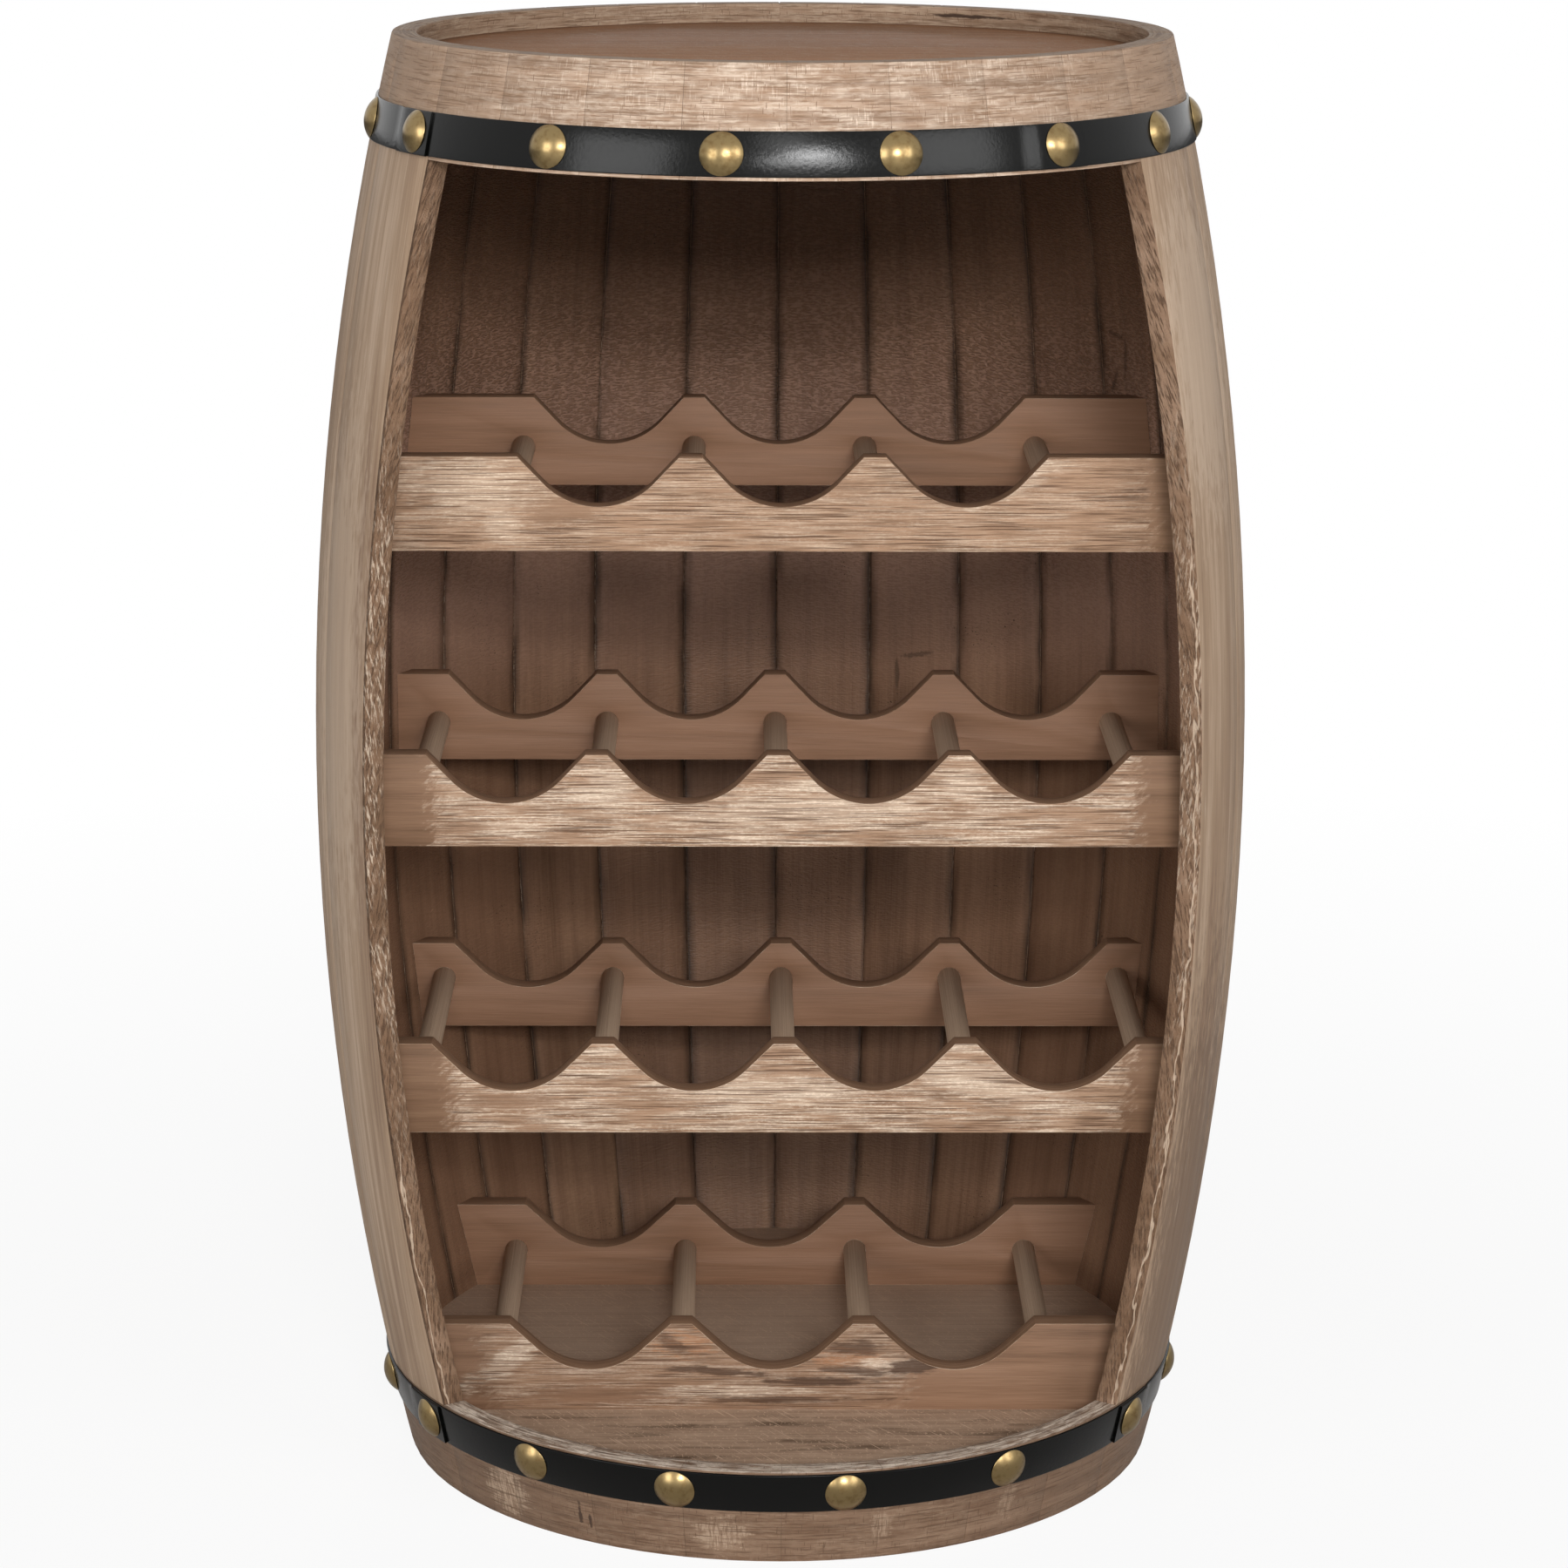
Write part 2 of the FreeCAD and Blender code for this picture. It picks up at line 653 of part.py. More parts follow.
def main():
    """Build the rack from its shell inwards and export every piece."""
    fill_sheet()
    nail, bore = build_nail(), build_nail_hole()
    upper = build_nails(nail, "upper_hoop_nails", "upper", UPPER_NAILS, UPPER_LAP_NAILS)
    lower = build_nails(nail, "lower_hoop_nails", "lower", LOWER_NAILS, LOWER_LAP_NAILS)
    upper_bores = build_nails(bore, "upper_bores", "upper", UPPER_NAILS, UPPER_LAP_NAILS)
    lower_bores = build_nails(bore, "lower_bores", "lower", LOWER_NAILS, LOWER_LAP_NAILS)
    bored = cut("bored_shell", build_shell(), group("bores", [upper_bores, lower_bores]))
    pieces = build_staves(bored) + build_boards()
    pieces += build_hoops(upper_bores, lower_bores) + [upper, lower]
    pieces += build_tiers()
    check_and_export(pieces)


main()
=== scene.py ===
"""Looks of a barrel wine rack: weathered wood, black hoops and brass dome nails.

Every length is in metres in the rack's own frame: it stands on z = 0 with the
barrel's axis on Z, and its open side faces -Y. Angles round the barrel are in
degrees from the front, positive to the right (+X).
"""
import logging
import math
from contextlib import contextmanager
from dataclasses import dataclass
from enum import Enum
from functools import cached_property
from typing import Callable, Iterator, Sequence

import bmesh
import bpy
from mathutils import Matrix, Vector


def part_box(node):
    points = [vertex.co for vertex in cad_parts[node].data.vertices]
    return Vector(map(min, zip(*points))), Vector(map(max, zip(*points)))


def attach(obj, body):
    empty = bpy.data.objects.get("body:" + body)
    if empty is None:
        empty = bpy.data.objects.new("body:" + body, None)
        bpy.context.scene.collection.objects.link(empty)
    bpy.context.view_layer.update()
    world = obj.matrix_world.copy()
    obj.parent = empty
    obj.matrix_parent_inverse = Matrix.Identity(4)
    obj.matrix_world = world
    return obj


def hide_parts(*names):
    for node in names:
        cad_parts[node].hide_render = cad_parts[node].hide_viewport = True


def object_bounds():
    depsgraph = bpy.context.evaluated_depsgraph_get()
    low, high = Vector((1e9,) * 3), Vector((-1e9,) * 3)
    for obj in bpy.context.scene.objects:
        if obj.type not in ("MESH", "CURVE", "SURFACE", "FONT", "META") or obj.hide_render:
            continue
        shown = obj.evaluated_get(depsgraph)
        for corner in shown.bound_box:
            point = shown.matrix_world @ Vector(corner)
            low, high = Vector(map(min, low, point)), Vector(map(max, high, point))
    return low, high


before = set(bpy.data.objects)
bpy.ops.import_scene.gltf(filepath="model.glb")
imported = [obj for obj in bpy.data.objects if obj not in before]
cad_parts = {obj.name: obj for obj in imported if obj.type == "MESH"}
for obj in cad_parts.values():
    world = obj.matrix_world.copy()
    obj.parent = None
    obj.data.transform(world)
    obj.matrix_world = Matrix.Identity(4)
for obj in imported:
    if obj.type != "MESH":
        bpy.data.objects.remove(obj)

MM = 0.001
BODY = "root"
CAD_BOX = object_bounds()
LOG = logging.getLogger("barrel_wine_rack")

# Corners nearer than this are merged, and places are tested to within a hair.
TOUCH = MM / 50
HAIR = MM / 20

# Angle of one whole stave and of one short stave, and of the seam where the
# staves beside the opening meet the whole ones.
STAVE_ANGLE = 40 / 3
SHORT_ANGLE = 13.875
FIRST_SEAM = 73.333

Piece = bpy.types.Object


class Side(Enum):
    """Where a rail stands in its tier."""

    FRONT = "front"
    REAR = "rear"


class End(Enum):
    """End of the barrel that a short stave belongs to."""

    BOTTOM = "bottom"
    TOP = "top"


class Level(Enum):
    """Height of a hoop on the barrel."""

    UPPER = "upper"
    LOWER = "lower"


@dataclass(frozen=True)
class Barrel:
    """Form of the barrel: a circular bow turned about the axis.

    Attributes:
        height: from the floor to the rim.
        belly_radius: outside radius at the widest place.
        belly_height: height of the widest place.
        foot_radius: outside radius at the floor.
        wall: thickness of the staves.
        opening_low: height of the lip in front.
        opening_high: height of the crown's lower edge.
        end_angle: half angle of the opening at its ends.
        belly_angle: half angle of the opening at the belly.
    """

    height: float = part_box("stave_09")[1][2]
    belly_radius: float = CAD_BOX[1][1]
    belly_height: float = 395 * MM
    foot_radius: float = 213.7 * MM
    wall: float = 13 * MM
    opening_low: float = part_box("bottom_stave_4")[1][2]
    opening_high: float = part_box("top_stave_4")[0][2]
    end_angle: float = 55.5
    belly_angle: float = 59.7

    @property
    def bow_radius(self) -> float:
        """Radius of the arc that the outside follows from foot to rim."""
        drop = self.belly_radius - self.foot_radius
        return (self.belly_height ** 2 + drop ** 2) / (2 * drop)

    @property
    def bow_centre(self) -> Vector:
        """Centre of the bow on the right-hand side."""
        return Vector((self.belly_radius - self.bow_radius, 0, self.belly_height))

    def radius(self, height: float, depth: float = 0.0) -> float:
        """Radius at a height, on the outside or some depth into the wall."""
        bow = self.bow_radius - depth
        reach = math.sqrt(bow ** 2 - (height - self.belly_height) ** 2)
        return reach + self.bow_centre.x

    def slope(self, height: float) -> float:
        """Lean of the outside from the vertical in radians, positive facing up."""
        return math.asin((height - self.belly_height) / self.bow_radius)

    def opening_angle(self, height: float) -> float:
        """Half angle of the opening at a height, in degrees, largest at the belly."""
        low, high = self.opening_low, self.opening_high
        if not low < height < high:
            return self.end_angle
        middle = self.belly_height
        reach = (middle - low) if height < middle else (high - middle)
        share = (height - middle) / reach
        return self.belly_angle - (self.belly_angle - self.end_angle) * share ** 2


def turned(angle: float) -> Matrix:
    """Turn that brings a piece made on the +X side to an angle from the front."""
    return Matrix.Rotation(math.radians(angle - 90), 4, "Z")


def single_out(piece: Piece) -> None:
    """Make a piece the active one and the only one selected."""
    bpy.ops.object.select_all(action="DESELECT")
    piece.select_set(True)
    bpy.context.view_layer.objects.active = piece


@contextmanager
def editing(piece: Piece, action: str = "DESELECT") -> Iterator[bmesh.types.BMesh]:
    """Edit mode on one piece.

    Args:
        piece: the mesh object to edit.
        action: DESELECT to start with nothing selected, SELECT with everything.

    Yields:
        The piece's edit mesh, for picking faces and edges in code.
    """
    single_out(piece)
    bpy.ops.object.mode_set(mode="EDIT")
    bpy.ops.mesh.select_all(action=action)
    yield bmesh.from_edit_mesh(piece.data)
    bpy.ops.object.mode_set(mode="OBJECT")


def pick(mesh: bmesh.types.BMesh, kind: str, test: Callable[[Vector], bool]) -> None:
    """Select the parts of one kind whose middle passes a test.

    Args:
        mesh: the edit mesh.
        kind: VERT or FACE.
        test: called with the middle of each part.
    """
    bpy.ops.mesh.select_mode(type=kind)
    for part in mesh.verts if kind == "VERT" else mesh.faces:
        corners = [part] if kind == "VERT" else list(part.verts)
        middle = sum((corner.co for corner in corners), Vector()) / len(corners)
        part.select_set(test(middle))
    mesh.select_flush_mode()


def bevel_edges(piece: Piece, width: float, test: Callable[[bmesh.types.BMEdge], bool],
                **settings) -> None:
    """Round the edges of a piece that pass a test, in two steps."""
    with editing(piece) as mesh:
        bpy.ops.mesh.select_mode(type="EDGE")
        for edge in mesh.edges:
            edge.select_set(test(edge))
        bpy.ops.mesh.bevel(offset=width, segments=2, affect="EDGES", **settings)


def square_to(axis: int) -> Callable[[bmesh.types.BMEdge], bool]:
    """Test for edges that lie square to an axis, as the rims of a cylinder do."""
    return lambda edge: abs(edge.verts[0].co[axis] - edge.verts[1].co[axis]) < HAIR


def tidy(piece: Piece, merge: float = TOUCH) -> None:
    """Merge doubled corners and turn every face outwards."""
    with editing(piece, "SELECT"):
        bpy.ops.mesh.remove_doubles(threshold=merge)
        bpy.ops.mesh.normals_make_consistent(inside=False)


def copy_of(piece: Piece, name: str, move: Matrix) -> Piece:
    """Copy of a piece with its own mesh, moved within the mesh.

    Args:
        piece: the piece to copy.
        name: name of the copy.
        move: where the copy goes from where the piece is.

    Returns:
        The copy, its object at the origin.
    """
    twin = piece.copy()
    twin.data = piece.data.copy()
    twin.name = twin.data.name = name
    bpy.context.collection.objects.link(twin)
    twin.data.transform(move)
    return twin


def join(name: str, pieces: Sequence[Piece]) -> Piece:
    """One object that holds several separate shells."""
    single_out(pieces[0])
    for piece in pieces:
        piece.select_set(True)
    bpy.ops.object.join()
    pieces[0].name = name
    return pieces[0]


def apply_all(piece: Piece) -> None:
    """Apply the piece's modifiers in order."""
    single_out(piece)
    for modifier in list(piece.modifiers):
        bpy.ops.object.modifier_apply(modifier=modifier.name)


def settle(piece: Piece, node: str, angle: float = 35) -> None:
    """Shade a finished piece smooth and let it stand for its node of the frame.

    Args:
        piece: the finished piece.
        node: the node that it replaces.
        angle: largest angle in degrees that is shaded smooth.
    """
    single_out(piece)
    bpy.ops.object.shade_smooth_by_angle(angle=math.radians(angle))
    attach(piece, BODY)
    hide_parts(node)
    LOG.info("%s: %d faces", piece.name, len(piece.data.polygons))


def add_primitive(kind: str, name: str, **settings) -> Piece:
    """Add one of Blender's primitives, its place, turn and scale in its mesh."""
    bpy.ops.object.select_all(action="DESELECT")
    getattr(bpy.ops.mesh, f"primitive_{kind}_add")(**settings)
    piece = bpy.context.active_object
    piece.name = piece.data.name = name
    single_out(piece)
    bpy.ops.object.transform_apply(location=True, rotation=True, scale=True)
    return piece


@dataclass
class BarrelWall:
    """Coopered wall: whole staves, the two sawn to the opening, and the short ones.

    Attributes:
        barrel: form that every stave follows.
        short_count: short staves at each end.
        whole_count: whole staves round the back.
        croze: depth of the grooves that hold the boards.
        board_nodes: nodes whose heights the grooves take.
        rows: steps along a whole stave.
        columns: steps across any stave.
        overrun: angle that the bow is drawn past each end before it is cut.
        outer_seam: bevel of a stave's outside edges.
        inner_seam: bevel of its inside edges.
        end_round: bevel round the sawn ends.
        sharp: angle in degrees from which an edge is bevelled.
        facing: share of a face's normal from which it counts as facing one way.
        upper_band: height, under the upper hoop, where the crown's coat starts.
        lower_band: height, under the lower hoop, where the bottom band's coat ends.
    """

    barrel: Barrel
    short_count: int = 8
    whole_count: int = 16
    croze: float = 3 * MM
    board_nodes: tuple[str, str] = ("floor_board", "top_board")
    rows: int = 30
    columns: int = 4
    overrun: float = 0.4
    outer_seam: float = 0.25 * MM
    inner_seam: float = 0.7 * MM
    end_round: float = 0.9 * MM
    sharp: float = 35
    facing: float = 0.7
    upper_band: float = 747 * MM
    lower_band: float = 53 * MM

    @cached_property
    def grooves(self) -> list[tuple[float, float]]:
        """Lowest and highest height of each groove."""
        return [(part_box(node)[0][2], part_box(node)[1][2]) for node in self.board_nodes]

    @property
    def whole_start(self) -> float:
        """Angle from the front at which the whole staves start."""
        return 90 - STAVE_ANGLE * 1.25

    def depth(self, point: Vector) -> float:
        """How far a point lies under the outside of the wall."""
        barrel = self.barrel
        reach = math.hypot(point.x, point.y) - barrel.bow_centre.x
        return barrel.bow_radius - math.hypot(reach, point.z - barrel.belly_height)

    def stave(self, name: str, low: float, high: float, sweep: float,
              rows: int) -> Piece:
        """Board of the wall from +X round to an angle, grooves and all.

        Args:
            name: name of the piece.
            low: height of its lower end.
            high: height of its upper end.
            sweep: angle that it takes, in degrees.
            rows: steps along it.

        Returns:
            A closed piece with sharp edges.
        """
        barrel = self.barrel
        first, last = (math.degrees(barrel.slope(end)) for end in (low, high))
        centre = tuple(barrel.bow_centre)
        inner = barrel.belly_radius - barrel.wall
        piece = add_primitive("plane", name, size=self.croze,
                              location=(inner + self.croze / 2, 0, barrel.belly_height))
        with editing(piece, "SELECT") as mesh:
            bpy.ops.transform.resize(value=(1, 0, 1), center_override=(0, 0, 0))
            bpy.ops.mesh.remove_doubles(threshold=HAIR)
            pick(mesh, "VERT", lambda spot: spot.x > inner + self.croze / 2)
            bpy.ops.mesh.extrude_vertices_move(
                TRANSFORM_OT_translate={"value": (barrel.wall - self.croze, 0, 0)})
            bpy.ops.mesh.select_all(action="SELECT")
            bpy.ops.transform.rotate(value=math.radians(first - self.overrun),
                                     orient_axis="Y", center_override=centre)
            bow = math.radians(last - first + 2 * self.overrun)
            bpy.ops.mesh.spin(steps=rows, angle=bow, center=centre, axis=(0, 1, 0))
            self.bisect(low, clear_inner=True)
            self.bisect(high, clear_outer=True)
            self.cut_grooves(mesh, low, high)
            bpy.ops.mesh.select_all(action="SELECT")
            bpy.ops.mesh.spin(steps=self.columns, angle=-math.radians(sweep),
                              center=(0, 0, 0), axis=(0, 0, 1))
        tidy(piece)
        return piece

    def bisect(self, height: float, **clear: bool) -> None:
        """Cut all that is being edited along a height."""
        bpy.ops.mesh.select_all(action="SELECT")
        bpy.ops.mesh.bisect(plane_co=(0, 0, height), plane_no=(0, 0, 1), **clear)

    def cut_grooves(self, mesh: bmesh.types.BMesh, low: float, high: float) -> None:
        """Take the boards' grooves out of the section while it is still flat."""
        edge = self.barrel.wall - self.croze
        for bottom, top in self.grooves:
            if low <= top and bottom <= high:
                self.bisect(bottom)
                self.bisect(top)
                pick(mesh, "FACE", lambda spot: bottom < spot.z < top
                     and self.depth(spot) > edge)
                bpy.ops.mesh.delete(type="FACE")

    def ease(self, piece: Piece, low: float, high: float) -> None:
        """Bevel a stave's long edges and its sawn ends."""

        def at_end(edge: bmesh.types.BMEdge) -> bool:
            """Whether an edge lies on either sawn end."""
            return any(all(abs(corner.co.z - end) < HAIR for corner in edge.verts)
                       for end in (low, high))

        def on_seam(edge: bmesh.types.BMEdge, depth: float) -> bool:
            """Whether an edge away from the ends lies at a depth under the outside."""
            return not at_end(edge) and all(abs(self.depth(corner.co) - depth) < HAIR
                                            for corner in edge.verts)

        def along_inside(edge: bmesh.types.BMEdge) -> bool:
            """Whether an edge runs up the inside of a seam."""
            return on_seam(edge, self.barrel.wall) and not square_to(2)(edge)

        for width, test in ((self.outer_seam, lambda edge: on_seam(edge, 0.0)),
                            (self.inner_seam, along_inside), (self.end_round, at_end)):
            bevel_edges(piece, width, lambda edge: len(edge.link_faces) == 2
                        and edge.calc_face_angle() > math.radians(self.sharp)
                        and test(edge), clamp_overlap=True)

    def row(self, names: Sequence[str], low: float, high: float, start: float,
            angle: float, rows: int) -> list[Piece]:
        """Equal staves side by side, modelled once and copied.

        Args:
            names: a name for each, from the first one round.
            low: height of their lower ends.
            high: height of their upper ends.
            start: angle from the front where the first one starts.
            angle: angle that each takes.
            rows: steps along them.

        Returns:
            The staves.
        """
        first = self.stave("stave", low, high, angle, rows)
        self.ease(first, low, high)
        staves = [copy_of(first, name, turned(start + step * angle))
                  for step, name in enumerate(names)]
        bpy.data.objects.remove(first)
        return staves

    def sawn_staves(self) -> list[Piece]:
        """The two wider staves beside the opening, sawn to its curve."""
        barrel = self.barrel
        sweep = self.whole_start - barrel.end_angle
        right = self.stave("stave_01_wood", 0.0, barrel.height, sweep, self.rows * 2)
        heights = {round(corner.co.z, 6) for corner in right.data.vertices
                   if abs(corner.co.y) < HAIR}
        for height in sorted(heights):
            turn = barrel.opening_angle(height) - barrel.end_angle
            if turn > 0:
                with editing(right) as mesh:
                    pick(mesh, "VERT", lambda spot: abs(spot.z - height) < TOUCH
                         and abs(spot.y) < HAIR)
                    bpy.ops.transform.rotate(value=-math.radians(turn), orient_axis="Z",
                                             center_override=(0, 0, height))
        self.ease(right, 0.0, barrel.height)
        right.data.transform(turned(barrel.end_angle))
        left = copy_of(right, "stave_18_wood", Matrix.Scale(-1, 4, (1, 0, 0)))
        tidy(left, MM / 1000)
        return [right, left]

    def finish_name(self, face: bpy.types.MeshPolygon, short: bool) -> str:
        """Which of the wall's finishes a face takes.

        Args:
            face: a face of a stave.
            short: whether the stave is a short one.

        Returns:
            Name of the finish among the rack's finishes.
        """
        normal, middle = face.normal, face.center
        out = Vector((middle.x, middle.y, 0)).normalized().dot(normal)
        tray = self.grooves[1][1]
        level = abs(normal.z) > self.facing
        if normal.z > self.facing and middle.z < self.barrel.belly_height:
            return "lip_edge"
        if middle.z > tray and (level or out < 0):
            return "rim"
        if level or abs(out) < self.facing:
            return "sawn"
        if self.depth(middle) > self.barrel.wall / 2:
            return "inside"
        if middle.z > self.upper_band or short and middle.z > self.barrel.belly_height:
            return "crown"
        return "lip" if middle.z < self.lower_band or short else "outside"

    def dress(self, piece: Piece, finishes: "Finishes") -> None:
        """Give a stave its outside, inside and sawn finishes."""
        coats = ("outside", "inside", "sawn", "crown", "lip", "rim", "lip_edge")
        for coat in coats:
            piece.data.materials.append(getattr(finishes, coat))
        short = piece.name.startswith((End.TOP.value, End.BOTTOM.value))
        for face in piece.data.polygons:
            face.material_index = coats.index(self.finish_name(face, short))

    def build(self, finishes: "Finishes") -> None:
        """Build every stave, dress it and let it stand for its node."""
        barrel = self.barrel
        names = [f"stave_{step + 2:02d}_wood" for step in range(self.whole_count)]
        pieces = self.row(names, 0.0, barrel.height, self.whole_start, STAVE_ANGLE,
                          self.rows)
        pieces += self.sawn_staves()
        for end, low, high in ((End.BOTTOM, 0.0, barrel.opening_low),
                               (End.TOP, barrel.opening_high, barrel.height)):
            names = [f"{end.value}_stave_{step + 1}_wood"
                     for step in range(self.short_count)]
            pieces += self.row(names, low, high, -barrel.end_angle, SHORT_ANGLE, 4)
        for piece in pieces:
            self.dress(piece, finishes)
            settle(piece, piece.name.removesuffix("_wood"), 30)


@dataclass
class Boards:
    """Round boards that close the barrel at both ends, held in grooves.

    Attributes:
        sides: flat sides round each board's edge.
        clearance: how far a board stays inside its node.
        edge_round: bevel round both faces.
    """

    sides: int = 144
    clearance: float = 0.05 * MM
    edge_round: float = 0.8 * MM

    def build(self, finishes: "Finishes") -> None:
        """Build both boards and let them stand for their nodes."""
        for node in ("floor_board", "top_board"):
            low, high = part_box(node)
            piece = add_primitive("cylinder", node + "_wood", vertices=self.sides,
                                  radius=high[0] - self.clearance,
                                  depth=high[2] - low[2],
                                  location=(0, 0, (low[2] + high[2]) / 2))
            bevel_edges(piece, self.edge_round, square_to(2))
            piece.data.materials.append(getattr(finishes, node))
            settle(piece, node)


@dataclass(frozen=True)
class TierSizes:
    """Sizes that change from tier to tier."""

    number: int
    bottles: int
    pitch: float
    shift: float
    dowel_drop: float


TIERS = (
    TierSizes(1, 3, 98.5 * MM, 0.0, 29 * MM),
    TierSizes(2, 4, 98.5 * MM, -2 * MM, 29 * MM),
    TierSizes(3, 4, 100 * MM, 2 * MM, 21.5 * MM),
    TierSizes(4, 3, 102 * MM, -4 * MM, 29 * MM),
)


@dataclass
class Tier:
    """One tier: two scalloped rails with a row of dowels between them.

    Attributes:
        barrel: form that the rails' ends are scribed to.
        sizes: what this tier has of its own.
        cradle_depth: how deep a scallop goes.
        cradle_radius: radius of its round bottom.
        peak_flat: flat left between two scallops.
        dowel_radius: radius of a dowel.
        dowel_seat: how far a dowel goes into each rail.
        seat_play: how much wider its seat is all round.
        wall_gap: gap between a rail's end and the wall.
        arc_steps: steps round a scallop's bottom.
        rod_sides: flat sides round a dowel.
        edge_round: bevel of the rails' and dowels' edges.
        sharp: angle in degrees from which a rail's edge is bevelled.
        forward: share of a normal that points forward on a rail's face.
        upward: share of it that is left on its top and its scallops.
    """

    barrel: Barrel
    sizes: TierSizes
    cradle_depth: float = 27 * MM
    cradle_radius: float = 41 * MM
    peak_flat: float = 12 * MM
    dowel_radius: float = 6.7 * MM
    dowel_seat: float = 7 * MM
    seat_play: float = 0.1 * MM
    wall_gap: float = 0.2 * MM
    arc_steps: int = 28
    rod_sides: int = 32
    edge_round: float = 1.1 * MM
    sharp: float = 35
    forward: float = 0.95
    upward: float = 0.3

    def node(self, part: str) -> str:
        """Name of one of this tier's nodes."""
        return f"tier_{self.sizes.number}_{part}"

    def wall_x(self, height: float, forward: float) -> float:
        """Half width between the walls at a height and a place front to back."""
        reach = self.barrel.radius(height, self.barrel.wall) - self.wall_gap
        return math.sqrt(reach ** 2 - forward ** 2)

    def row(self, count: int) -> list[float]:
        """Places of a row of scallops or dowels from left to right."""
        sizes = self.sizes
        first = -(count - 1) / 2 * sizes.pitch + sizes.shift
        return [first + step * sizes.pitch for step in range(count)]

    def rods(self, name: str, radius: float, front: float, back: float,
             height: float) -> list[Piece]:
        """Round rods from front to back, one at each dowel's place."""
        return [add_primitive("cylinder", name, vertices=self.rod_sides, radius=radius,
                              depth=back - front, rotation=(math.pi / 2, 0, 0),
                              location=(place, (front + back) / 2, height))
                for place in self.row(self.sizes.bottles + 1)]

    def outline(self, piece: Piece, top: float, bottom: float, wide: float,
                plane: float) -> None:
        """Draw a rail's outline from one corner round to the other, and fill it.

        Args:
            piece: a piece whose mesh is one point at the lower left corner.
            top: height of the rail's top.
            bottom: height of its lower edge.
            wide: half of its width.
            plane: where it stands from front to back.
        """
        half = (self.sizes.pitch - self.peak_flat) / 2
        rise = self.cradle_radius - self.cradle_depth
        reach = math.hypot(half, rise)
        lean = math.atan2(-rise, half) - math.acos(self.cradle_radius / reach)
        touch = Vector((self.cradle_radius * math.cos(lean),
                        rise + self.cradle_radius * math.sin(lean)))

        def go_to(x: float, z: float) -> None:
            """Draw the outline on from its selected end to a point."""
            here = [corner.co.copy() for corner in mesh.verts if corner.select][0]
            step = Vector((x, plane, z)) - here
            bpy.ops.mesh.extrude_vertices_move(TRANSFORM_OT_translate={"value": step})

        with editing(piece) as mesh:
            bpy.ops.mesh.select_mode(type="VERT")
            bpy.ops.mesh.select_all(action="SELECT")
            go_to(-wide, top)
            for centre in self.row(self.sizes.bottles):
                go_to(centre - half, top)
                go_to(centre - touch.x, top + touch.y)
                bpy.ops.mesh.spin(steps=self.arc_steps, angle=math.pi + 2 * lean,
                                  center=(centre, plane, top + rise), axis=(0, 1, 0))
                mesh = bmesh.from_edit_mesh(piece.data)
                go_to(centre + half, top)
            go_to(wide, top)
            go_to(wide, bottom)
            bpy.ops.mesh.select_all(action="SELECT")
            bpy.ops.mesh.edge_face_add()

    def rail(self, side: Side) -> Piece:
        """One rail with its ends scribed to the wall and its dowel seats bored.

        Args:
            side: which of the tier's two rails.

        Returns:
            The rail at its node's place.
        """
        node = self.node(side.value + "_rail")
        (_, front, bottom), (_, back, top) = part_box(node)
        wide = self.wall_x((bottom + top) / 2, front)
        piece = add_primitive("plane", node + "_wood", size=MM,
                              location=(-wide, front, bottom))
        with editing(piece, "SELECT"):
            bpy.ops.mesh.merge(type="CENTER")
        self.outline(piece, top, bottom, wide, front)
        with editing(piece, "SELECT"):
            bpy.ops.mesh.extrude_region_move(
                TRANSFORM_OT_translate={"value": (0, back - front, 0)})
        tidy(piece)
        self.scribe(piece, wide)
        self.bore(piece, top, back if side is Side.FRONT else front)
        edge = piece.modifiers.new("eased_edges", "BEVEL")
        edge.width = self.edge_round
        edge.segments = 2
        edge.limit_method = "ANGLE"
        edge.angle_limit = math.radians(self.sharp)
        apply_all(piece)
        return piece

    def scribe(self, piece: Piece, wide: float) -> None:
        """Move a rail's end corners out to the wall's inside."""
        with editing(piece) as mesh:
            corners = [corner.co.copy() for corner in mesh.verts
                       if abs(abs(corner.co.x) - wide) < HAIR]
            for spot in corners:
                pick(mesh, "VERT", lambda other: (other - spot).length < TOUCH)
                target = math.copysign(self.wall_x(spot.z, spot.y), spot.x)
                bpy.ops.transform.translate(value=(target - spot.x, 0, 0))

    def bore(self, piece: Piece, top: float, face: float) -> None:
        """Bore the dowels' seats into the face that looks at the other rail."""
        drill = join("drills", self.rods(
            "drill", self.dowel_radius + self.seat_play, face - self.dowel_seat,
            face + self.dowel_seat, top - self.sizes.dowel_drop))
        hole = piece.modifiers.new("dowel_seats", "BOOLEAN")
        hole.operation = "DIFFERENCE"
        hole.solver = "EXACT"
        hole.object = drill
        apply_all(piece)
        bpy.data.objects.remove(drill)

    def dowels(self) -> Piece:
        """The row of dowels between the two rails."""
        node = self.node("dowels")
        (_, front, bottom), (_, back, top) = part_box(node)
        rods = self.rods("rod", self.dowel_radius, front, back, (bottom + top) / 2)
        for rod in rods:
            bevel_edges(rod, self.edge_round, square_to(1))
        return join(node + "_wood", rods)

    def dress_rail(self, piece: Piece, side: Side, finishes: "Finishes") -> None:
        """Give a rail its face, its top and, between the two, its rubbed edges."""
        front = side is Side.FRONT
        for finish in (finishes.front_rails[self.sizes.number] if front
                       else finishes.rear_rail, finishes.rail_top,
                       finishes.rail_edge if front else finishes.rear_edge):
            piece.data.materials.append(finish)
        for face in piece.data.polygons:
            share = abs(face.normal.y)
            on_face, on_top = share > self.forward, share < self.upward
            face.material_index = 0 if on_face else 1 if on_top else 2

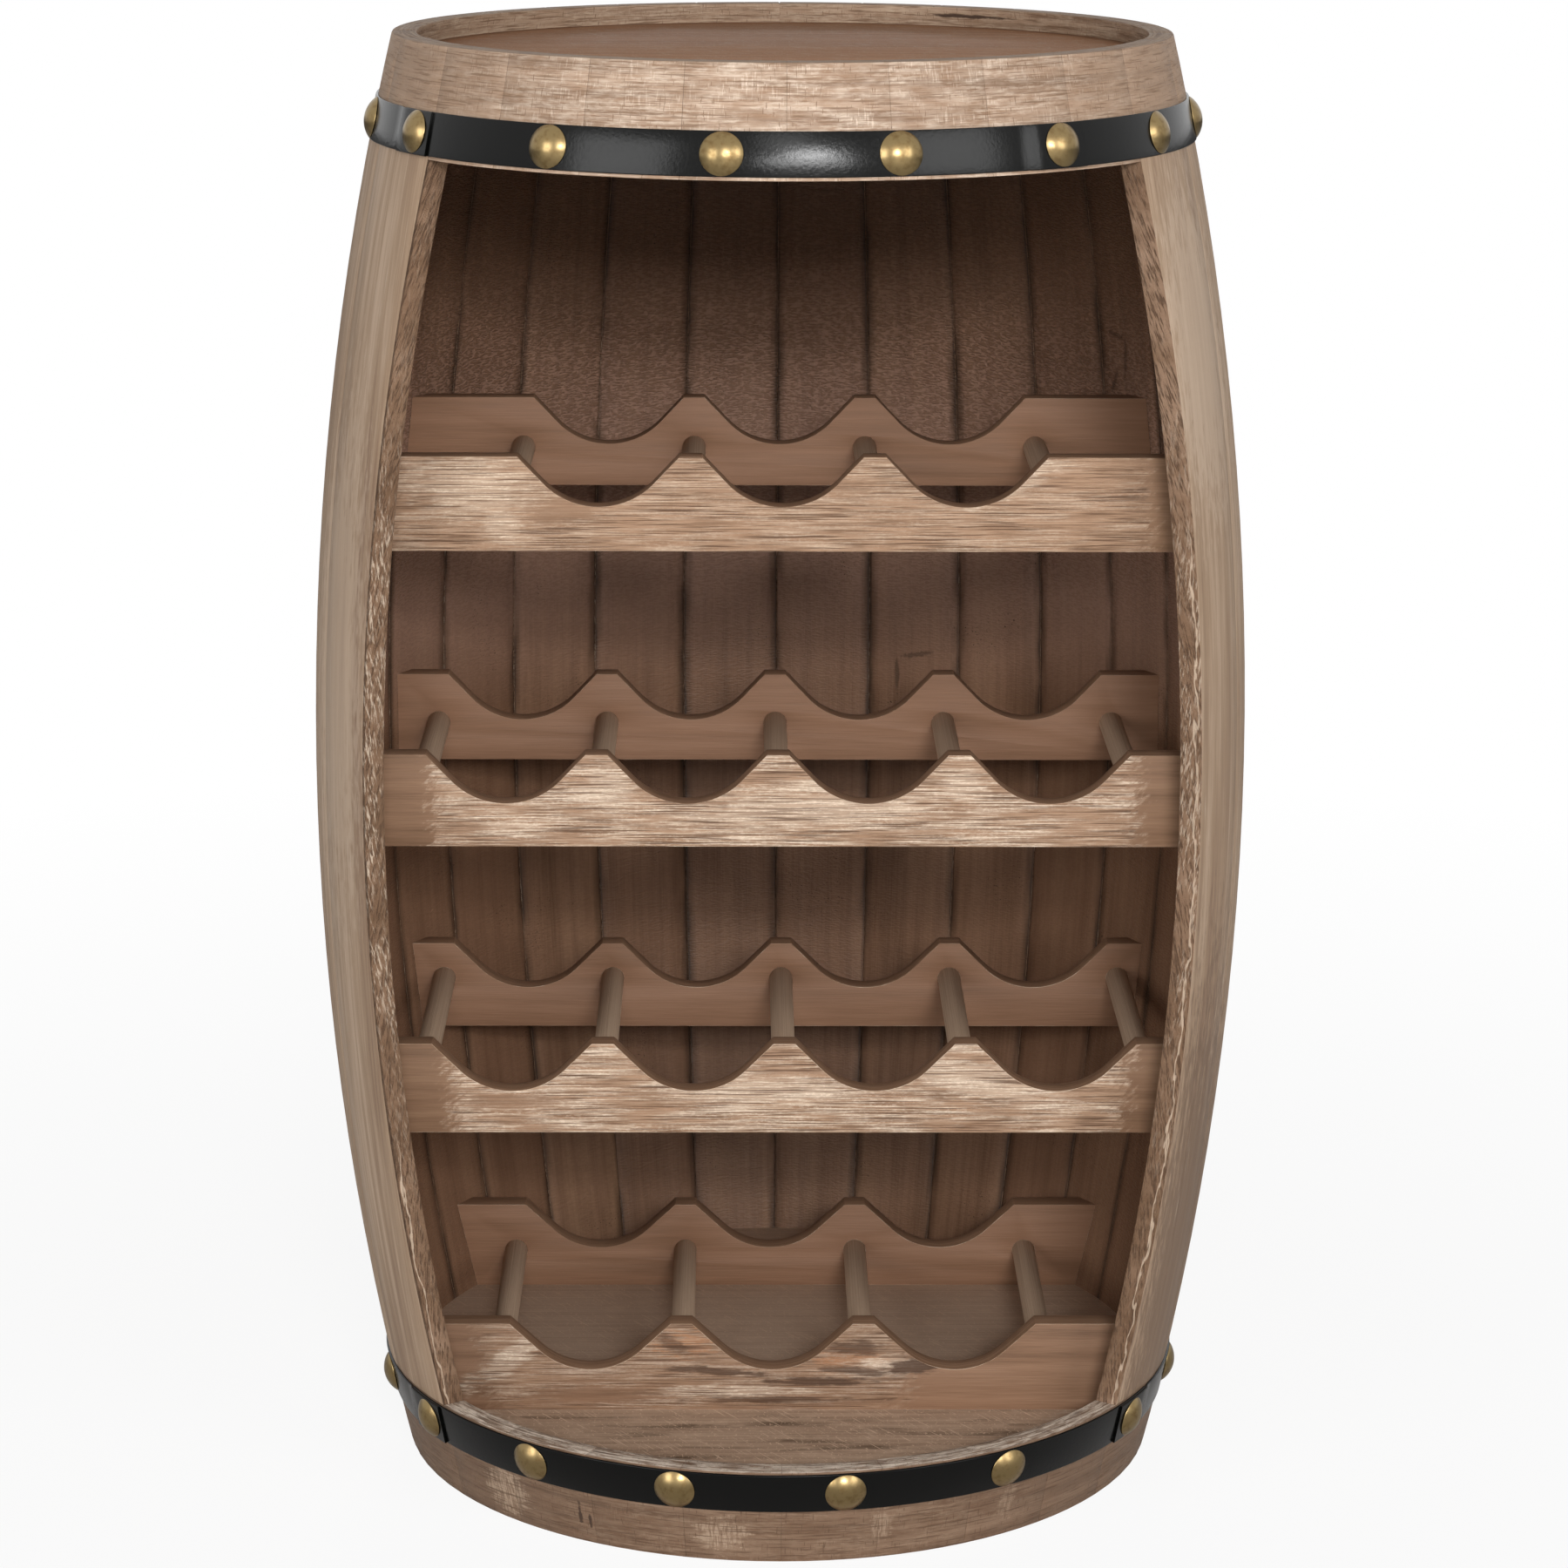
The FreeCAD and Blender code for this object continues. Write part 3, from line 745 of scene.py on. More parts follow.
    def build(self, finishes: "Finishes") -> None:
        """Build the tier's pieces and let them stand for their nodes."""
        for side in Side:
            piece = self.rail(side)
            self.dress_rail(piece, side, finishes)
            settle(piece, self.node(side.value + "_rail"))
        rods = self.dowels()
        rods.data.materials.append(finishes.dowel)
        settle(rods, self.node("dowels"))


@dataclass(frozen=True)
class HoopSizes:
    """Where one hoop sits, where its strips lap, and where its nails are.

    Attributes:
        height: height of the strip's middle.
        front: start of the front strip, then the angle and lift of each stretch.
        rear: the same for the rear strip.
        nails: angles of the nails on a single strip.
        lap_nails: angles of the nails through both strips.
    """

    height: float
    front: tuple[tuple[float, bool], ...]
    rear: tuple[tuple[float, bool], ...]
    nails: tuple[float, ...]
    lap_nails: tuple[float, ...]


HOOPS = {
    Level.UPPER: HoopSizes(
        height=755.5 * MM,
        front=((-64.0, False), (33.5, False), (43.0, True)),
        rear=((34.5, False), (295.0, False), (304.5, True)),
        nails=(-80.6, -32.7, -8.4, 14.9, 61.5, 84.5, 108, 132, 156, 180, 204, 228, 252),
        lap_nails=(-59.2, 38.9)),
    Level.LOWER: HoopSizes(
        height=43.5 * MM,
        front=((-64.8, False), (64.9, False)),
        rear=((56.4, True), (64.9, True), (294.2, False), (303.7, True)),
        nails=(-79, -37.3, -14.8, 8.8, 33.3, 83, 106, 130, 154, 178, 202, 226, 254),
        lap_nails=(-59.8, 60.3)),
}


@dataclass
class Hoop:
    """A flat steel hoop: a front and a rear strip that lap, and its dome nails.

    Attributes:
        barrel: form that the strips lie on.
        level: which of the two hoops.
        width: width of the strip.
        thickness: its thickness.
        fit_gap: gap between two strips that lap.
        joggle: angle over which a strip steps on to the one below.
        step: angle between two sections of a strip.
        edge_round: bevel of a strip's outside edges.
        head_radius: radius of a nail's head.
        head_rise: how far it stands up.
        head_rim: bevel round its edge.
        head_sides: flat sides and rings of the ball that the head is cut from.
    """

    barrel: Barrel
    level: Level
    width: float = 23 * MM
    thickness: float = 1.2 * MM
    fit_gap: float = 0.1 * MM
    joggle: float = 1.0
    step: float = 1.8
    edge_round: float = 0.4 * MM
    head_radius: float = 11.5 * MM
    head_rise: float = 5 * MM
    head_rim: float = 0.5 * MM
    head_sides: tuple[int, int] = (36, 40)

    @property
    def sizes(self) -> HoopSizes:
        """This hoop's own places."""
        return HOOPS[self.level]

    @property
    def layer(self) -> float:
        """How far the upper strip of a lap is lifted."""
        return self.thickness + self.fit_gap

    def place(self, lift: float) -> Vector:
        """Point over the wall's outside at +X, lifted square to the wall."""
        height = self.sizes.height
        lean = self.barrel.slope(height)
        reach = self.barrel.radius(height) + lift * math.cos(lean)
        return Vector((reach, 0, height + lift * math.sin(lean)))

    def strip(self, name: str, stretches: Sequence[tuple[float, bool]]) -> Piece:
        """One strip of the hoop, bent over the other where they lap.

        Args:
            name: name of the piece.
            stretches: where the strip starts and whether it starts lifted, then
                where each stretch stops and whether it is lifted.

        Returns:
            The strip as a closed piece.
        """
        (start, lifted), *rest = stretches
        middle = self.place(self.thickness / 2 + self.layer * lifted)
        piece = add_primitive("plane", name, size=self.width, location=middle,
                              rotation=(math.pi / 2, 0, 0))
        lean = self.barrel.slope(self.sizes.height)
        with editing(piece, "SELECT") as mesh:
            bpy.ops.transform.resize(value=(self.thickness / self.width, 1, 1),
                                     center_override=middle)
            pick(mesh, "VERT", lambda spot: spot.x > middle.x)
            bpy.ops.mesh.bevel(offset=self.edge_round, segments=3, affect="VERTICES")
            bpy.ops.mesh.select_all(action="SELECT")
            bpy.ops.transform.rotate(value=lean, orient_axis="Y",
                                     center_override=middle)
            here = start
            for stop, raised in rest:
                if raised != lifted:
                    change = (self.layer if raised else -self.layer) / math.cos(lean)
                    self.sweep(self.joggle)
                    here += self.joggle
                    scale = 1 + change / middle.x
                    bpy.ops.transform.resize(value=(scale, scale, 1),
                                             center_override=(0, 0, middle.z))
                    lifted = raised
                self.sweep(stop - here)
                here = stop
        tidy(piece)
        piece.data.transform(turned(start))
        return piece

    def sweep(self, angle: float) -> None:
        """Spin the selected section on round the barrel."""
        bpy.ops.mesh.spin(steps=max(1, round(angle / self.step)),
                          angle=-math.radians(angle), center=(0, 0, 0), axis=(0, 0, 1))

    def nail(self) -> Piece:
        """One dome head with its base on z = 0."""
        ball = (self.head_radius ** 2 + self.head_rise ** 2) / (2 * self.head_rise)
        sides, rings = self.head_sides
        piece = add_primitive("uv_sphere", "nail", segments=sides, ring_count=rings,
                              radius=ball, location=(0, 0, self.head_rise - ball))
        with editing(piece, "SELECT"):
            bpy.ops.mesh.bisect(plane_co=(0, 0, 0), plane_no=(0, 0, 1),
                                clear_inner=True, use_fill=True)
        bevel_edges(piece, self.head_rim, lambda edge: all(
            abs(corner.co.z) < TOUCH for corner in edge.verts))
        return piece

    def nails(self) -> Piece:
        """All the nails of this hoop as one piece of separate heads."""
        first = self.nail()
        lean = self.barrel.slope(self.sizes.height)
        upright = Matrix.Rotation(math.pi / 2 - lean, 4, "Y")
        heads = []
        for angles, lift in ((self.sizes.nails, self.thickness),
                             (self.sizes.lap_nails, self.thickness + self.layer)):
            spot = Matrix.Translation(self.place(lift))
            heads += [copy_of(first, "head", turned(angle) @ spot @ upright)
                      for angle in angles]
        bpy.data.objects.remove(first)
        return join(f"{self.level.value}_hoop_nails_brass", heads)

    def build(self, finishes: "Finishes") -> None:
        """Build the strips and nails and let them stand for their nodes."""
        level = self.level.value
        for side in Side:
            node = f"{level}_hoop_{side.value}"
            piece = self.strip(node + "_steel", getattr(self.sizes, side.value))
            piece.data.materials.append(finishes.steel)
            settle(piece, node)
        heads = self.nails()
        heads.data.materials.append(finishes.brass)
        settle(heads, f"{level}_hoop_nails")


def linear(code: str) -> tuple[float, float, float, float]:
    """Linear colour of an sRGB hex code."""
    parts = [int(code[place:place + 2], 16) / 255 for place in (1, 3, 5)]
    red, green, blue = (part / 12.92 if part <= 0.04045
                        else ((part + 0.055) / 1.055) ** 2.4 for part in parts)
    return (red, green, blue, 1.0)


Socket = bpy.types.NodeSocket
Share = Socket | float
Look = tuple[Socket, Socket]


class Graph:
    """The nodes of a material or of the world."""

    def __init__(self, owner: bpy.types.Material | bpy.types.World) -> None:
        """Start with nothing in the owner's nodes."""
        owner.use_nodes = True
        self.owner = owner
        self.tree = owner.node_tree
        self.tree.nodes.clear()

    def add(self, kind: str, *values, at: dict | None = None, take: int | str = 0,
            **settings) -> Socket | None:
        """Add a node with its settings, values and links.

        Args:
            kind: the node's type without its ShaderNode prefix, then its operation
                if it has one.
            *values: value or another node's output for each input in turn.
            at: the same for inputs given by number.
            take: which output to hand back.
            **settings: inputs by name with a capital, and the node's properties.

        Returns:
            The chosen output.
        """
        kind, _, operation = kind.partition(" ")
        node = self.tree.nodes.new("ShaderNode" + kind)
        if operation:
            node.operation = operation
        inputs = dict(enumerate(values)) | (at or {})
        for key, value in settings.items():
            if key[0].isupper():
                inputs[key.replace("_", " ")] = value
            else:
                setattr(node, key, value)
        for key, value in inputs.items():
            if isinstance(value, Socket):
                self.tree.links.new(value, node.inputs[key])
            else:
                node.inputs[key].default_value = value
        return node.outputs[take] if node.outputs else None

    def point(self, size: float = 1.0) -> Socket:
        """Place on the object, counted in steps of a size in mm."""
        place = self.add("TexCoord", take="Object")
        return self.add("VectorMath SCALE", place, Scale=1 / (size * MM))

    def clouds(self, size: float, detail: float) -> Socket:
        """Soft clouds of a size in mm, from 0 to 1."""
        return self.add("TexNoise", Vector=self.point(size), Scale=1.0, Detail=detail,
                        take="Fac")

    def weighed(self, *parts: tuple[Share, float], start: Share | None = None) -> Share:
        """Sum of several shares, each times its own weight, on top of a start."""
        whole = start
        for share, weight in parts:
            whole = (self.add("Math MULTIPLY", share, weight) if whole is None
                     else self.add("Math MULTIPLY_ADD", share, weight, whole))
        return whole

    def layered(self, colour: Socket | Sequence[float],
                layers: Sequence[tuple[Share, str]]) -> Socket:
        """Lay colours one on another, each by its own share."""
        for share, code in layers:
            colour = self.add("Mix", share, at={6: colour, 7: linear(code)}, take=2,
                              data_type="RGBA")
        return colour


class Run(Enum):
    """Which way the grain runs."""

    UP_THE_BARREL = "stave"
    ROUND_THE_BARREL = "band"
    SIDE_TO_SIDE = "rail"
    FRONT_TO_BACK = "dowel"


@dataclass(frozen=True)
class Patch:
    """A worn or stained place, an ellipse across the grain's own coordinates.

    Attributes:
        along: its middle along the grain, in mm.
        across: its middle across the grain, in mm.
        length: half of its length, in mm.
        width: half of its width, in mm.
        turn: how far it is turned, in degrees.
        depth: how strongly it shows.
    """

    along: float
    across: float
    length: float
    width: float
    turn: float = 0.0
    depth: float = 1.0


class WoodGraph(Graph):
    """The nodes of one wood, with the coordinates that its patterns read.

    Attributes:
        reach: radius in mm at which an angle is counted as a length round the barrel.
        point_mm: place on the rack in mm, with x, y and z apart.
        radius: distance from the barrel's axis, in mm.
        degrees: angle from the front.
        board: a number for each stave.
        flat: place across the grain and along it.
        grain: the same with the board as third.
    """

    reach = 250.0

    def __init__(self, name: str, run: Run, seed: float) -> None:
        """Start a material with the coordinates for one run of the grain."""
        super().__init__(bpy.data.materials.new(name))
        self.point_mm = self.point()
        self.x, self.y, self.z = (self.add("SeparateXYZ", self.point_mm, take=axis)
                                  for axis in "XYZ")
        level = self.add("CombineXYZ", self.x, self.y)
        self.radius = self.add("VectorMath LENGTH", level, take="Value")
        front = self.add("Math MULTIPLY", self.y, -1.0)
        angle = self.add("Math ARCTAN2", self.x, front)
        self.degrees = self.add("Math DEGREES", angle)
        self.board = self.stave_number(seed)
        round_way = self.add("Math MULTIPLY", angle, self.reach)
        across, along, other = {
            Run.UP_THE_BARREL: (round_way, self.z, self.board),
            Run.ROUND_THE_BARREL: (self.z, round_way,
                                   self.add("Math MULTIPLY", self.radius, 0.6)),
            Run.SIDE_TO_SIDE: (self.z, self.x, self.y),
            Run.FRONT_TO_BACK: (self.z, self.y, self.add("Math MULTIPLY", self.x, 3.0)),
        }[run]
        self.flat = self.add("CombineXYZ", across, along)
        self.grain = self.add("CombineXYZ", across, along, other)

    def stave_number(self, seed: float) -> Socket:
        """A number for each stave, far enough apart that their grain differs."""
        size = self.add("Math ABSOLUTE", self.degrees)
        side = self.add("Math SIGN", self.degrees)
        past = self.add("Math SUBTRACT", size, FIRST_SEAM)
        whole = self.add("Math DIVIDE", past, STAVE_ANGLE)
        step = self.add("Math MAXIMUM", self.add("Math FLOOR", whole), -1.0)
        step = self.add("Math MULTIPLY", self.add("Math ADD", step, 3.0), side)
        short = self.add("Math MULTIPLY_ADD", self.degrees, 1 / SHORT_ANGLE, 4.0)
        short = self.add("Math ADD", self.add("Math FLOOR", short), 30.0)
        is_short = self.add("Math LESS_THAN", size, Barrel.end_angle)
        number = self.add("Mix", is_short, at={2: step, 3: short})
        return self.add("Math MULTIPLY_ADD", number, 41.3, seed)

    def depth_in(self, belly: float, bow: float) -> Socket:
        """Depth in mm under a face that bellies out as the barrel does.

        Args:
            belly: the face's radius at the belly, in mm.
            bow: radius of the arc that it follows, in mm.

        Returns:
            The depth towards the axis.
        """
        rise = self.add("Math SUBTRACT", self.z, Barrel.belly_height / MM)
        square = self.add("Math POWER", rise, 2.0)
        sag = self.add("Math MULTIPLY", square, 1 / (2 * bow))
        face = self.add("Math SUBTRACT", belly, sag)
        return self.add("Math SUBTRACT", face, self.radius)

    def streaks(self, across: float, along: float, low: float = 0.0, high: float = 1.0,
                detail: float = 2.0, shift: float = 0.0, turn: float = 0.0,
                on: Socket | None = None) -> Socket:
        """Streaks of a size, from 0 below one level of the noise to 1 above another.

        Args:
            across: width of a streak in mm.
            along: length of a streak in mm.
            low: level of the noise at which the streaks start.
            high: level at which they are full.
            detail: octaves of the noise.
            shift: moves the pattern, so that two of a size differ.
            turn: turns it against the grain, in degrees.
            on: point that the pattern reads, in mm, or None for the grain's.

        Returns:
            The streaks as a share from 0 to 1.
        """
        place = self.add("Mapping", Vector=self.grain if on is None else on,
                         Location=(shift, shift, shift),
                         Rotation=(0, 0, math.radians(turn)))
        sized = self.add("VectorMath MULTIPLY", place, (1 / across, 1 / along, 1.0))
        noise = self.add("TexNoise", Vector=sized, Scale=1.0, Detail=detail,
                         Roughness=0.6, take="Fac")
        return self.add("MapRange", noise, low, high, interpolation_type="SMOOTHSTEP")

    def patches(self, places: Sequence[Patch], ragged: float = 0.35) -> Share:
        """Share of the surface that the listed patches take, with ragged edges."""
        whole: Share = 0.0
        if not places:
            return whole
        rough = self.streaks(2.2, 12.0, 0.25, 0.75, 4.0, 51.0)
        for place in places:
            spot = self.add("Mapping", Vector=self.flat, vector_type="TEXTURE",
                            Location=(place.across, place.along, 0),
                            Rotation=(0, 0, math.radians(place.turn)),
                            Scale=(place.width, place.length, 1))
            reach = self.add("VectorMath LENGTH", spot, take="Value")
            reach = self.add("Math MULTIPLY_ADD", rough, -2 * ragged, reach)
            inside = self.add("MapRange", reach, 1.0 - ragged, 0.45 - ragged, 0.0,
                              place.depth, interpolation_type="SMOOTHSTEP")
            whole = self.add("Math MAXIMUM", inside, whole)
        return whole


@dataclass(frozen=True)
class Wood:
    """Pine, sawn and planed, under a thin brown stain and a soft satin varnish.

    The stain lies evenly, so the grain shows as long soft bands and fine lines.

    Attributes:
        name: name of the material.
        run: which way the grain runs.
        dark: stain in the grain's dark bands.
        middle: stain over most of the wood.
        pale: stain on its palest bands.
        band: width of the soft bands, in mm.
        line: width of the fine grain lines, in mm. The real ones are 0.3 mm and
            are drawn as coarse as they show.
        length: length of the fine lines, in mm.
        contrast: how much the tone moves between dark and pale.
        relief: depth of the grain as bump, in mm.
        roughness: roughness of the varnish.
        gloss: how much the varnish reflects, 0.5 being a full coat.
        seed: shifts the pattern, so that pieces differ.
    """

    name: str
    run: Run
    dark: str
    middle: str
    pale: str
    band: float = 7.0
    line: float = 0.9
    length: float = 30.0
    contrast: float = 1.0
    relief: float = 0.10
    roughness: float = 0.52
    gloss: float = 0.2
    seed: float = 0.0

    def stain(self, wood: WoodGraph) -> Look:
        """The stained wood's colour, and its fine lines for the relief."""
        lines = wood.streaks(self.line, self.length, 0.2, 0.8, 3.0)
        bands = wood.streaks(self.band, self.band * 30, 0.2, 0.8, 3.0, 7.0)
        broad = wood.streaks(34.0, 240.0, 0.2, 0.8, 1.0, 13.0)
        tone = wood.weighed((bands, 0.45), (lines, 0.25), (broad, 0.30))
        reach = 0.30 / self.contrast
        low = wood.add("MapRange", tone, 0.5 - reach, 0.5)
        high = wood.add("MapRange", tone, 0.5, 0.5 + reach)
        return wood.layered(linear(self.dark), [(low, self.middle),
                                                (high, self.pale)]), lines

    def marks(self, wood: WoodGraph, colour: Socket, height: Socket) -> Look:
        """What this finish adds to the stained wood. Plain wood adds nothing."""
        return colour, height

    def material(self) -> bpy.types.Material:
        """The finish as nodes."""
        wood = WoodGraph(self.name, self.run, self.seed)
        colour, height = self.marks(wood, *self.stain(wood))
        bump = wood.add("Bump", Strength=1.0, Distance=self.relief * MM, Height=height)
        rough = wood.add("MapRange", height, 0.0, 1.0, self.roughness - 0.04,
                         self.roughness + 0.1)
        shader = wood.add("BsdfPrincipled", Base_Color=colour, Roughness=rough,
                          Normal=bump, IOR=1.5, Specular_IOR_Level=self.gloss)
        wood.add("OutputMaterial", Surface=shader)
        return wood.owner


@dataclass(frozen=True)
class SideWood(Wood):
    """Outside of the staves: even taupe with a few thin dry-brushed scratches.

    Attributes:
        scratch: colour of the scratches.
        painted_shade: colour of the painted shade.
        bare: colour of the rubbed ones.
        painted_shade_places: places where painted shade darkens the wall, low on the right
            side.
        rubbed: places that are rubbed pale.
    """

    scratch: str = "#c3b3a2"
    painted_shade: str = "#6f5948"
    bare: str = "#c2ac97"
    painted_shade_places: tuple[Patch, ...] = ()
    rubbed: tuple[Patch, ...] = ()

    def marks(self, wood: WoodGraph, colour: Socket, height: Socket) -> Look:
        """Painted shade low on the right, rubbed places, and thin pale scratches up the
        staves in a few places.
        """
        thin = wood.streaks(0.8, 30.0, 0.60, 0.70, 3.0, 3.0)
        where = wood.streaks(22.0, 130.0, 0.52, 0.64, 2.0, 9.0)
        share = wood.weighed((wood.add("Math MULTIPLY", thin, where), 0.7))
        # Painted shade darkens the outside low on the right side.
        return wood.layered(colour, [(wood.patches(self.painted_shade_places), self.painted_shade),
                                     (wood.patches(self.rubbed), self.bare),
                                     (share, self.scratch)]), height


@dataclass(frozen=True)
class InsideWood(Wood):
    """Inside of the staves: stain sprayed over the joints and left with orange peel.

    Attributes:
        joint: colour deep in the joints between the staves.
        smear: stain gathered beside them, and painted shade at the top, under the crown.
        warm: tone that some of the staves lean to.
        painted_light: painted light, laid on the orange peel's ridges in a band of
            heights.
        curls: where dark curls of stain were left.
        peel: size of the orange peel's dimples, in mm.
        peel_rise: heights over which the dimples come in, in mm.
        painted_light_foot: heights over which the painted light comes in.
        painted_light_head: heights over which it goes, the higher one first.
        painted_shade_rise: heights over which painted shade darkens the top, under the
            crown.
    """

    joint: str = "#38291f"
    smear: str = "#463326"
    warm: str = "#6a4b39"
    painted_light: str = "#a08070"
    curls: tuple[Patch, ...] = ()
    peel: float = 3.2
    peel_rise: tuple[float, float] = (430.0, 600.0)
    painted_light_foot: tuple[float, float] = (380.0, 450.0)
    painted_light_head: tuple[float, float] = (660.0, 560.0)
    painted_shade_rise: tuple[float, float] = (610.0, 700.0)

    def beside_joint(self, wood: WoodGraph, shift: float, reach: float) -> Socket:
        """Share of the surface within some degrees of a joint that wavers."""
        middle = STAVE_ANGLE / 2
        waver = wood.streaks(3.0, 26.0, shift=shift, on=wood.flat)
        size = wood.add("Math ABSOLUTE", wood.degrees)
        size = wood.add("Math MULTIPLY_ADD", waver, 0.5, size)
        past = wood.add("Math SUBTRACT", size, FIRST_SEAM + 0.25)
        past = wood.add("Math MAXIMUM", past, -6.0)
        near = wood.add("Math MODULO", past, STAVE_ANGLE)
        near = wood.add("Math ABSOLUTE", wood.add("Math SUBTRACT", near, middle))
        return wood.add("MapRange", near, middle - reach, middle - reach / 4,
                        interpolation_type="SMOOTHSTEP")

    def marks(self, wood: WoodGraph, colour: Socket, height: Socket) -> Look:
        """Joints that waver and come and go, a tone for each stave, dimples with painted
        shade in them, painted light on their ridges in a band, and painted shade at the
        top.
        """
        flat, point, z = wood.flat, wood.point_mm, wood.z
        come = wood.streaks(14.0, 70.0, 0.30, 0.62, 2.0, 31.0, on=flat)
        smear = wood.add("Math MULTIPLY", self.beside_joint(wood, 5.0, 1.5),
                         wood.weighed((come, 0.75)))
        faint = wood.add("MapRange", come, 0.0, 1.0, 0.35, 0.85)
        line = wood.add("Math MULTIPLY", self.beside_joint(wood, 9.0, 0.5), faint)
        tone = wood.weighed((wood.add("TexWhiteNoise", take="Value", W=wood.board,
                                      noise_dimensions="1D"), 0.42))
        dimples = wood.streaks(self.peel, self.peel, 0.38, 0.62, 1.0, on=point)
        high = wood.add("MapRange", z, *self.peel_rise, 0.3)
        dimples = wood.add("Math MULTIPLY", dimples, high)
        shaded = wood.weighed((dimples, 0.5))
        specks = wood.streaks(1.3, 1.3, 0.66, 0.72, 1.0, 77.0, on=point)
        some = wood.streaks(40.0, 60.0, 0.5, 0.7, 1.0, 79.0, on=flat)
        specks = wood.add("Math MULTIPLY", specks, some)
        # Painted light: a band of heights below the crown's shade is lightened on the
        # peel's ridges.
        painted_light_share = wood.add("Math MULTIPLY", wood.add("MapRange", z, *self.painted_light_head),
                           wood.add("MapRange", z, *self.painted_light_foot))
        ridge = wood.add("MapRange", dimples, 0.0, 1.0, 0.55, 0.1)
        painted_light_share = wood.add("Math MULTIPLY", painted_light_share, ridge)
        # Painted shade: the wall darkens towards the top, where the crown shades it.
        top = wood.add("MapRange", z, *self.painted_shade_rise, 0.0, 0.6)
        colour = wood.layered(colour, [
            (tone, self.warm), (shaded, self.dark), (painted_light_share, self.painted_light),
            (top, self.smear), (smear, self.smear), (line, self.joint),
            (specks, self.joint), (wood.patches(self.curls), self.joint)])
        return colour, wood.weighed((height, 0.12), start=dimples)


@dataclass(frozen=True)
class SawnWood(Wood):
    """Faces sawn to the opening: torn grain that the pale brush caught on.

    Attributes:
        fleck: colour of the brushed flecks.
        torn: colour down in the torn grain.
        edge_line: dark line along the outer edge at the left.
        crack: colour of the crack's pale edge.
        belly: outside radius at the belly that the depth is counted from, in mm.
        bow: radius of the outside's bow, in mm.
        head: heights over which the flecks come in from the top down, in mm.
        foot: heights over which they come in from the bottom up.
        rim: height under which the marks lie.
        crack_tops: height that the crack reaches at the left and at the right.
    """

    fleck: str = "#c8b49f"
    torn: str = "#5a4332"
    edge_line: str = "#33251b"
    crack: str = "#bda690"
    belly: float = 260.0
    bow: float = 1701.0
    head: tuple[float, float] = (640.0, 520.0)
    foot: tuple[float, float] = (180.0, 330.0)
    rim: float = 799.0
    crack_tops: tuple[float, float] = (215.0, 560.0)

    def marks(self, wood: WoodGraph, colour: Socket, height: Socket) -> Look:
        """Flecks aslant the grain, a dark outer line and a pale wavering crack."""
        depth = wood.depth_in(self.belly, self.bow)
        face = wood.add("CombineXYZ", depth, wood.z, wood.board)
        right = wood.add("Math GREATER_THAN", wood.x, 0.0)
        left = wood.add("Math LESS_THAN", wood.x, 0.0)
        torn = wood.streaks(0.9, 8.0, 0.48, 0.64, 4.0, 2.0, 14.0, on=face)
        fleck = wood.streaks(1.0, 7.0, 0.50, 0.63, 4.0, 17.0, -10.0, on=face)
        spread = wood.add("Math MULTIPLY",
                          wood.add("MapRange", wood.z, *self.head, 0.12, 0.95),
                          wood.add("MapRange", wood.z, *self.foot, 0.12))
        fewer = wood.add("MapRange", right, 0.0, 1.0, 1.0, 0.7)
        spread = wood.add("Math MULTIPLY", spread, fewer)
        some = wood.streaks(9.0, 38.0, 0.35, 0.60, 2.0, 29.0, on=face)
        fleck = wood.add("Math MULTIPLY", fleck, spread)
        fleck = wood.add("Math MULTIPLY", fleck, some)
        waver = wood.streaks(4.0, 20.0, shift=61.0, on=face)
        edge = wood.add("MapRange", wood.weighed((waver, 1.6), start=depth), 2.6, 1.5,
                        0.0, 0.65, interpolation_type="SMOOTHSTEP")
        edge = wood.add("Math MULTIPLY", edge, left)
        off = wood.add("Math ADD", wood.weighed((waver, 6.0), start=-6.2), depth)
        crack = wood.add("MapRange", wood.add("Math ABSOLUTE", off), 0.7, 0.25,
                         interpolation_type="SMOOTHSTEP")
        top = wood.add("Mix", right, at=dict(zip((2, 3), self.crack_tops)))
        low = wood.add("MapRange", wood.add("Math SUBTRACT", top, wood.z), 0.0, 25.0)
        crack = wood.add("Math MULTIPLY", crack, low)
        level = wood.add("Math LESS_THAN", wood.z, self.rim)
        colour = wood.layered(colour, [
            (wood.add("Math MULTIPLY", share, level), code) for share, code in (
                (torn, self.torn), (fleck, self.fleck), (edge, self.edge_line),
                (crack, self.crack))])
        rough = wood.streaks(1.1, 1.6, detail=4.0, on=wood.point_mm)
        return colour, wood.weighed((rough, 1.4), (torn, -0.8), start=height)


